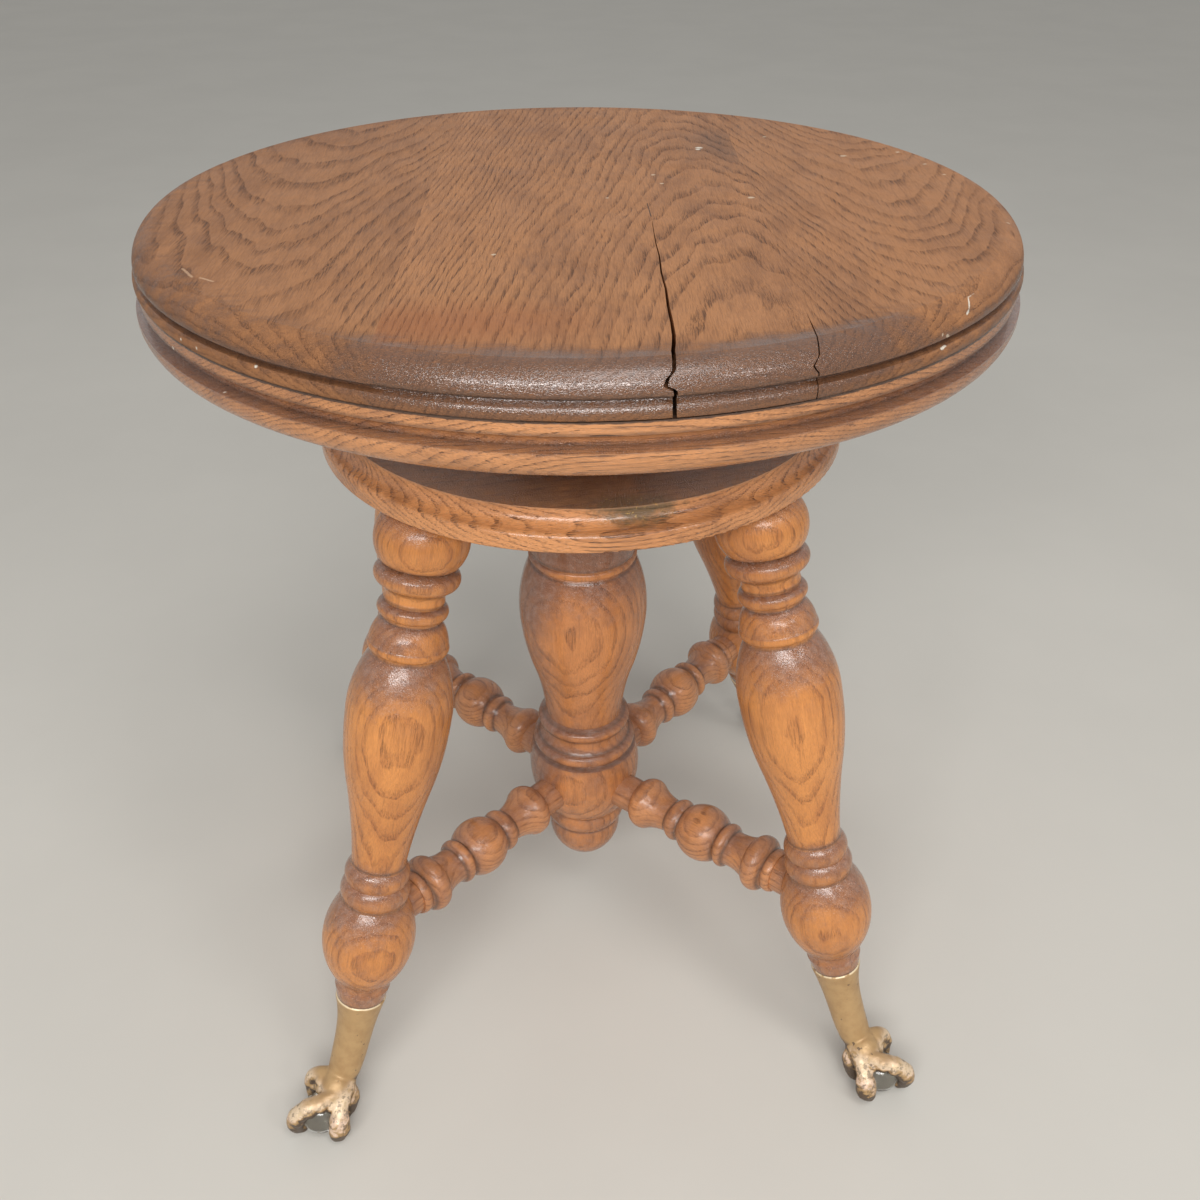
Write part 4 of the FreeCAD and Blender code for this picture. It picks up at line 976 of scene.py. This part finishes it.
def cast_foot(number):
    """The foot of the frame with a full palm, webs and knuckles, cast in one skin."""
    low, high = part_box("glass_ball_%d" % number)
    centre = (low + high) / 2.0
    radius = (high.x - low.x) / 2.0
    spin = math.radians(LEG_AZIMUTHS[number])
    mesh = bmesh.new()
    mesh.from_mesh(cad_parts["claw_foot_%d" % number].data)
    for around, above, distance, share in FOOT_LUMPS:
        turn = spin + math.radians(around) * FOOT_SIDES[number]
        lift = math.radians(above)
        away = Vector((math.cos(lift) * math.cos(turn), math.cos(lift) * math.sin(turn),
                       math.sin(lift)))
        bmesh.ops.create_icosphere(mesh, subdivisions=3, radius=share * radius,
                                   matrix=Matrix.Translation(centre + away * distance * radius))
    name = "claw_foot_%d_cast" % number
    piece = new_piece(name, finished_mesh(name, mesh))
    skin = piece.modifiers.new("skin", "REMESH")
    skin.mode = "VOXEL"
    skin.voxel_size = CAST_GRAIN
    skin.use_smooth_shade = True
    apply_modifiers(piece)
    roughen_paw(piece.data, centre, radius)
    return piece


def roughen_paw(data, centre, radius):
    """Smooths the palm and claws, gives them a cast surface and keeps them off the ball."""
    skin = bmesh.new()
    skin.from_mesh(data)
    paw = [vert for vert in skin.verts if vert.co.z < PAW_TOP]
    for _ in range(4):
        bmesh.ops.smooth_vert(skin, verts=paw, factor=0.5, use_axis_x=True, use_axis_y=True,
                              use_axis_z=True)
    skin.normal_update()
    for vert in paw:
        fade = min(1, (PAW_TOP - vert.co.z) / PAW_FADE)
        rough = sum(noise.noise(vert.co * scale) * depth for scale, depth in CAST_NOISE)
        vert.co += vert.normal * (rough * fade)
        away = vert.co - centre
        if away.length < radius + BALL_CLEARANCE:
            vert.co = centre + away.normalized() * (radius + BALL_CLEARANCE)
        vert.co.z = max(vert.co.z, 0)
    skin.to_mesh(data)
    skin.free()


class STOOL_OT_gild_feet(bpy.types.Operator):
    """Cast the claw feet in one skin and give them their chipped gold paint, with painted highlights
    and painted shade
    """
    bl_idname = "stool.gild_feet"
    bl_label = "Gild Feet"

    def execute(self, context):
        metal = context.scene.stool_metal
        material, wire = new_material("old gold paint")
        x, y, z = wire.apart(wire.place)
        facing = wire.apart(wire.normal)[2]
        reach = wire.plus(wire.math("ABSOLUTE", x), wire.math("ABSOLUTE", y))
        reach = wire.scaled(reach, math.sqrt(0.5), -LEG_TOP.x)
        drop = wire.minus(LEG_TOP.z, z)
        station = wire.scaled(reach, math.sin(LEG_SPLAY), wire.times(drop, math.cos(LEG_SPLAY)))
        dirt = wire.noise(wire.place, 130, 4, 0.62)
        patch = wire.noise(wire.place, 330, 3, 0.7)
        colour = wire.mix(wire.step(dirt, 0.35, 0.7), metal.gold, (0.43, 0.262, 0.118))
        claw = wire.step(z, 0.0285, 0.0235)
        uneven = wire.scaled(wire.minus(dirt, 0.5), 1.3, facing)
        # Painted highlight: the claws' upward faces go pale gold, as if lit.
        lit = wire.times(claw, wire.step(uneven, 0.18, 0.46))
        lit = wire.times(lit, wire.step(patch, 0.66, 0.46, 0.25, 1))
        colour = wire.mix(lit, colour, metal.highlight_gold)
        web = wire.times(wire.step(z, 0.018, 0.0205), wire.step(z, 0.0275, 0.0245))
        web = wire.times(web, wire.step(uneven, 0.1, 0.6, 0, 0.5))
        colour = wire.mix(web, colour, (0.8, 0.64, 0.4))
        # The claws' downward and outward faces go dark as bare iron: painted shade; the nicks and
        # pits are real wear.
        shade_and_wear = wire.times(claw, wire.step(uneven, 0.16, -0.06))
        nicks = wire.step(wire.noise(wire.place, 300, 2, 0.5), 0.7, 0.74)
        shade_and_wear = wire.larger(shade_and_wear, wire.times(nicks, 0.8))
        pitted = wire.times(claw, wire.step(wire.noise(wire.place, 360, 3, 0.7), 0.52, 0.62))
        shade_and_wear = wire.larger(shade_and_wear, wire.times(pitted, 0.62))
        colour = wire.mix(wire.times(shade_and_wear, 0.92), colour, metal.bare_iron_and_shade)
        # Painted highlight: a pale broken ring round the ferrule's rim.
        rim = wire.step(station, 0.258, 0.2574)
        rim = wire.times(rim, wire.step(wire.noise(wire.place, 240, 2), 0.62, 0.54))
        colour = wire.mix(rim, colour, (0.86, 0.7, 0.46))
        height = wire.scaled(shade_and_wear, -0.6, wire.noise(wire.place, 700, 3, 0.6))
        wire.shade(Base_Color=colour, Roughness=wire.step(patch, 0.2, 0.8, 0.34, 0.52),
                   Normal=wire.bump(height, 0.0002), Metallic=0.25)
        for number in LEG_AZIMUTHS:
            piece = cast_foot(number)
            piece.data.materials.append(material)
            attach(piece, "base")
            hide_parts("claw_foot_%d" % number)
        return {"FINISHED"}


class STOOL_OT_fill_balls(bpy.types.Operator):
    """Give the balls in the claws their smoky glass"""
    bl_idname = "stool.fill_balls"
    bl_label = "Glass Balls"

    def execute(self, context):
        material, wire = new_material("smoky glass")
        film = wire.noise(wire.place, 350, 3, 0.6)
        wire.shade(Base_Color=wire.paint(context.scene.stool_glass.colour), IOR=1.5,
                   Transmission_Weight=1, Roughness=wire.step(film, 0.35, 0.75, 0.05, 0.22))
        for number in LEG_AZIMUTHS:
            dress("glass_ball_%d" % number, material)
        return {"FINISHED"}


def cast_material(name, colour, rough, grain, metallic):
    """Dark cast or turned metal, with a little rust in its hollows."""
    material, wire = new_material(name)
    pits = wire.noise(wire.place, 380, 4, 0.65)
    rust = wire.step(wire.noise(wire.place, 90, 4, 0.7), 0.52, 0.7, 0, 0.6)
    wire.shade(Base_Color=wire.mix(rust, colour, (0.115, 0.055, 0.03)),
               Roughness=wire.step(pits, 0.3, 0.7, rough - 0.08, rough + 0.12),
               Normal=wire.bump(pits, grain), Metallic=metallic)
    return material


class STOOL_OT_blacken_iron(bpy.types.Operator):
    """Give the seat plate and the nut their black iron"""
    bl_idname = "stool.blacken_iron"
    bl_label = "Blacken Iron"

    def execute(self, context):
        metal = context.scene.stool_metal
        material = cast_material("black cast iron", metal.black_iron, 0.55, 0.0002, 0.6)
        dress("seat_plate", material)
        dress("screw_nut", material)
        return {"FINISHED"}


def thread_mesh(name, low, high, crest, depth, pitch, steps):
    """A right-hand thread from low to high, with flat crests, cut square at both ends."""
    root = crest - depth
    profile = ((0, root), (0.22, crest), (0.5, crest), (0.72, root))
    turns = int((high - low) / pitch) + 3
    mesh = bmesh.new()
    rows = []
    for number in range(turns * steps + 1):
        angle = 2.0 * math.pi * (number % steps) / steps
        lift = low - pitch * 1.5 + pitch * number / steps
        rows.append([mesh.verts.new((
            radius * math.cos(angle), radius * math.sin(angle), lift + share * pitch))
            for share, radius in profile])
    for number in range(turns * steps):
        here = rows[number]
        ahead = rows[number + 1]
        for step in range(3):
            mesh.faces.new((here[step], ahead[step], ahead[step + 1], here[step + 1]))
        if number + steps + 1 <= turns * steps:
            above = rows[number + steps]
            beyond = rows[number + steps + 1]
            mesh.faces.new((here[3], ahead[3], beyond[0], above[0]))
    for height, normal in ((low, (0, 0, -1)), (high, (0, 0, 1))):
        geometry = mesh.verts[:] + mesh.edges[:] + mesh.faces[:]
        cut = bmesh.ops.bisect_plane(
            mesh, geom=geometry, plane_co=(0, 0, height), plane_no=normal, clear_outer=True)
        edges = [e for e in cut["geom_cut"] if isinstance(e, bmesh.types.BMEdge)]
        bmesh.ops.contextual_create(mesh, geom=edges)
    bmesh.ops.recalc_face_normals(mesh, faces=mesh.faces)
    return finished_mesh(name, mesh)


class STOOL_OT_thread_screw(bpy.types.Operator):
    """Cut the coarse thread on the lifting screw"""
    bl_idname = "stool.thread_screw"
    bl_label = "Thread Screw"

    def execute(self, context):
        thread = context.scene.stool_thread
        low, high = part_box("lift_screw")
        data = thread_mesh(
            "lift_screw_thread", low.z, high.z, high.x, thread.depth, thread.pitch, thread.steps)
        steel = cast_material(
            "oiled screw steel", context.scene.stool_metal.steel, 0.34, 0.00005, 1)
        piece = new_piece("lift_screw_thread", data, steel)
        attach(piece, "lift")
        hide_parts("lift_screw")
        return {"FINISHED"}


SCREW_HEAD = 0.0044
SCREW_SHANK = 0.0022
SCREW_SINK = 0.0026
SCREW_LENGTH = 0.014
SCREW_TIP = 0.003
SCREW_STEPS = 24
SLOT_WIDTH_SHARE = 0.16
SLOT_DEPTH_SHARE = 0.55
SLOT_FLOOR_SHARE = 0.86
PLATE_CIRCLE = 0.046
NUT_CIRCLE = 0.03


def slotted_screw(mesh, move):
    """One slotted wood screw, its head's top at height zero before it is moved."""
    slot = SCREW_HEAD * SLOT_WIDTH_SHARE
    deep = SCREW_SINK * SLOT_DEPTH_SHARE
    edge = math.asin(slot / SCREW_HEAD)
    half = SCREW_STEPS // 2
    angles = []
    for start, end in ((edge, math.pi - edge), (math.pi + edge, 2.0 * math.pi - edge)):
        angles += [start + (end - start) * n / half for n in range(half + 1)]

    def point(x, y, z):
        return mesh.verts.new(move @ Vector((x, y, z)))

    rim, neck, body = [
        [point(radius * math.cos(angle), radius * math.sin(angle), height) for angle in angles]
        for radius, height in ((SCREW_HEAD, 0), (SCREW_SHANK, -SCREW_SINK),
                               (SCREW_SHANK, SCREW_TIP - SCREW_LENGTH))]
    end = point(0, 0, -SCREW_LENGTH)
    wide = SCREW_HEAD * math.cos(edge) * SLOT_FLOOR_SHARE
    floor = [point(wide, slot, -deep), point(-wide, slot, -deep),
             point(-wide, -slot, -deep), point(wide, -slot, -deep)]
    mesh.faces.new(rim[:half + 1])
    mesh.faces.new(rim[half + 1:])
    mesh.faces.new(floor)
    mesh.faces.new((rim[0], floor[0], floor[1], rim[half]))
    mesh.faces.new((rim[half + 1], floor[2], floor[3], rim[-1]))
    mesh.faces.new((rim[half], floor[1], floor[2], rim[half + 1]))
    mesh.faces.new((rim[-1], floor[3], floor[0], rim[0]))
    for number in range(len(rim)):
        following = (number + 1) % len(rim)
        mesh.faces.new((rim[number], rim[following], neck[following], neck[number]))
        mesh.faces.new((neck[number], neck[following], body[following], body[number]))
        mesh.faces.new((body[number], body[following], end))


class STOOL_OT_slot_screws(bpy.types.Operator):
    """Make the slotted wood screws of the seat plate and of the nut"""
    bl_idname = "stool.slot_screws"
    bl_label = "Slot Screws"

    def execute(self, context):
        steel = cast_material("small screw steel", (0.2, 0.17, 0.14), 0.38, 0.00006, 1)
        for node, body, count, circle, face, flip in (
            ("seat_plate_screws", "seat", 4, PLATE_CIRCLE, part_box("seat_plate_screws")[0].z, True),
            ("nut_screws", "base", 3, NUT_CIRCLE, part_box("nut_screws")[1].z, False),
        ):
            mesh = bmesh.new()
            for number in range(count):
                angle = 2.0 * math.pi * number / count
                place = Vector((circle * math.cos(angle), circle * math.sin(angle), face))
                move = Matrix.Translation(place) @ Matrix.Rotation(math.pi if flip else 0, 4, "X")
                slotted_screw(mesh, move @ Matrix.Rotation(0.7 + number * 1.3, 4, "Z"))
            bmesh.ops.recalc_face_normals(mesh, faces=mesh.faces)
            name = node.replace("screws", "slotted_screws")
            piece = new_piece(name, finished_mesh(name, mesh), steel)
            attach(piece, body)
            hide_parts(node)
        return {"FINISHED"}


# The stage

SKY_COLOUR = (0.97, 0.985, 1, 1)
SEEN_COLOUR = (0.6, 0.6, 0.6, 1)
FLOOR_HALF = 14.0


def area_lamp(name, place, target, width, height, power):
    data = bpy.data.lights.new(name, "AREA")
    data.shape = "RECTANGLE"
    data.size = width
    data.size_y = height
    data.energy = power
    lamp = bpy.data.objects.new(name, data)
    lamp.location = place
    lamp.rotation_mode = "QUATERNION"
    lamp.rotation_quaternion = (Vector(target) - Vector(place)).to_track_quat("-Z", "Y")
    bpy.context.scene.collection.objects.link(lamp)


class STOOL_OT_set_stage(bpy.types.Operator):
    """Lay the plain floor, hang the lamps and stand the camera"""
    bl_idname = "stool.set_stage"
    bl_label = "Set Stage"

    def execute(self, context):
        scene = context.scene
        stage = scene.stool_stage
        mesh = bmesh.new()
        bmesh.ops.create_grid(mesh, x_segments=1, y_segments=1, size=FLOOR_HALF)
        floor = new_piece("floor", finished_mesh("floor", mesh))
        material, wire = new_material("plain floor")
        grey = wire.noise(wire.place, 5, 4, 0.6)
        pale = Vector(stage.floor)
        wire.shade(Base_Color=wire.mix(wire.step(grey, 0.3, 0.7), pale * 0.97, pale),
                   Roughness=0.85, Specular_IOR_Level=0.2)
        floor.data.materials.append(material)
        self.light_world(scene, stage)
        area_lamp("key lamp", (-0.3, -1.7, 1.4), (0, 0, 0.25), 1.6, 0.36, stage.key)
        area_lamp("side lamp", (1.25, -1.5, 1.6), (0, 0, 0.3), 0.5, 0.22, stage.side)
        area_lamp("top lamp", (0.3, -0.9, 2), (0, 0, 0.3), 0.8, 0.8, stage.fill)
        self.stand_camera(scene, stage)
        scene.view_settings.view_transform = "Standard"
        return {"FINISHED"}

    def light_world(self, scene, stage):
        world = bpy.data.worlds.new("studio")
        scene.world = world
        world.use_nodes = True
        world.node_tree.nodes.clear()
        wire = Wiring(world.node_tree)
        output = wire.add("ShaderNodeOutputWorld")
        sky = wire.fed("ShaderNodeBackground", {"Color": SKY_COLOUR, "Strength": stage.sky})
        seen = wire.fed("ShaderNodeBackground", {"Color": SEEN_COLOUR})
        path = wire.fed("ShaderNodeLightPath", {})
        visible = wire.plus(path["Is Camera Ray"], path["Is Glossy Ray"])
        visible = wire.plus(visible, path["Is Transmission Ray"], clamp=True)
        mix = wire.add("ShaderNodeMixShader")
        for socket, value in zip(mix.inputs, (visible, sky[0], seen[0])):
            wire.put(socket, value)
        wire.put(output.inputs[0], mix.outputs[0])

    def stand_camera(self, scene, stage):
        data = bpy.data.cameras.new("camera")
        data.sensor_width = 36.0
        data.lens = stage.camera_lens
        data.clip_start = 0.01
        camera = bpy.data.objects.new("camera", data)
        scene.collection.objects.link(camera)
        camera.matrix_world = (
            Matrix.Translation(stage.camera_place)
            @ Matrix.Rotation(-stage.camera_heading, 4, "Z")
            @ Matrix.Rotation(math.pi / 2.0 - stage.camera_pitch, 4, "X")
            @ Matrix.Rotation(stage.camera_roll, 4, "Z"))
        scene.camera = camera


class STOOL_PT_workshop(bpy.types.Panel):
    """Lists every step of the stool's finish"""
    bl_idname = "STOOL_PT_workshop"
    bl_label = "Piano Stool"
    bl_space_type = "VIEW_3D"
    bl_region_type = "UI"
    bl_category = "Stool"

    def draw(self, context):
        for name, group in SETTINGS:
            box = self.layout.box()
            box.label(text=name.replace("stool_", "").title())
            for label in group.__annotations__:
                box.prop(getattr(context.scene, name), label)
        for step in STEPS:
            self.layout.operator(step.bl_idname)


SETTINGS = (
    ("stool_oak", StoolOakSettings),
    ("stool_metal", StoolMetalSettings),
    ("stool_thread", StoolThreadSettings),
    ("stool_crack", StoolCrackSettings),
    ("stool_glass", StoolGlassSettings),
    ("stool_stage", StoolStageSettings),
)

STEPS = (
    STOOL_OT_mix_finishes,
    STOOL_OT_finish_seat,
    STOOL_OT_crack_seat,
    STOOL_OT_finish_base,
    STOOL_OT_finish_legs,
    STOOL_OT_finish_stretchers,
    STOOL_OT_gild_feet,
    STOOL_OT_fill_balls,
    STOOL_OT_blacken_iron,
    STOOL_OT_thread_screw,
    STOOL_OT_slot_screws,
    STOOL_OT_set_stage,
)


def register():
    for name, group in SETTINGS:
        bpy.utils.register_class(group)
        setattr(bpy.types.Scene, name, bpy.props.PointerProperty(type=group))
    for step in STEPS:
        bpy.utils.register_class(step)
    bpy.utils.register_class(STOOL_PT_workshop)


def unregister():
    bpy.utils.unregister_class(STOOL_PT_workshop)
    for step in reversed(STEPS):
        bpy.utils.unregister_class(step)
    for name, group in reversed(SETTINGS):
        delattr(bpy.types.Scene, name)
        bpy.utils.unregister_class(group)


def main():
    register()
    bpy.ops.stool.mix_finishes()
    bpy.ops.stool.finish_seat()
    bpy.ops.stool.crack_seat()
    bpy.ops.stool.finish_base()
    bpy.ops.stool.finish_legs()
    bpy.ops.stool.finish_stretchers()
    bpy.ops.stool.gild_feet()
    bpy.ops.stool.fill_balls()
    bpy.ops.stool.blacken_iron()
    bpy.ops.stool.thread_screw()
    bpy.ops.stool.slot_screws()
    bpy.ops.stool.set_stage()


if __name__ == "__main__":
    main()
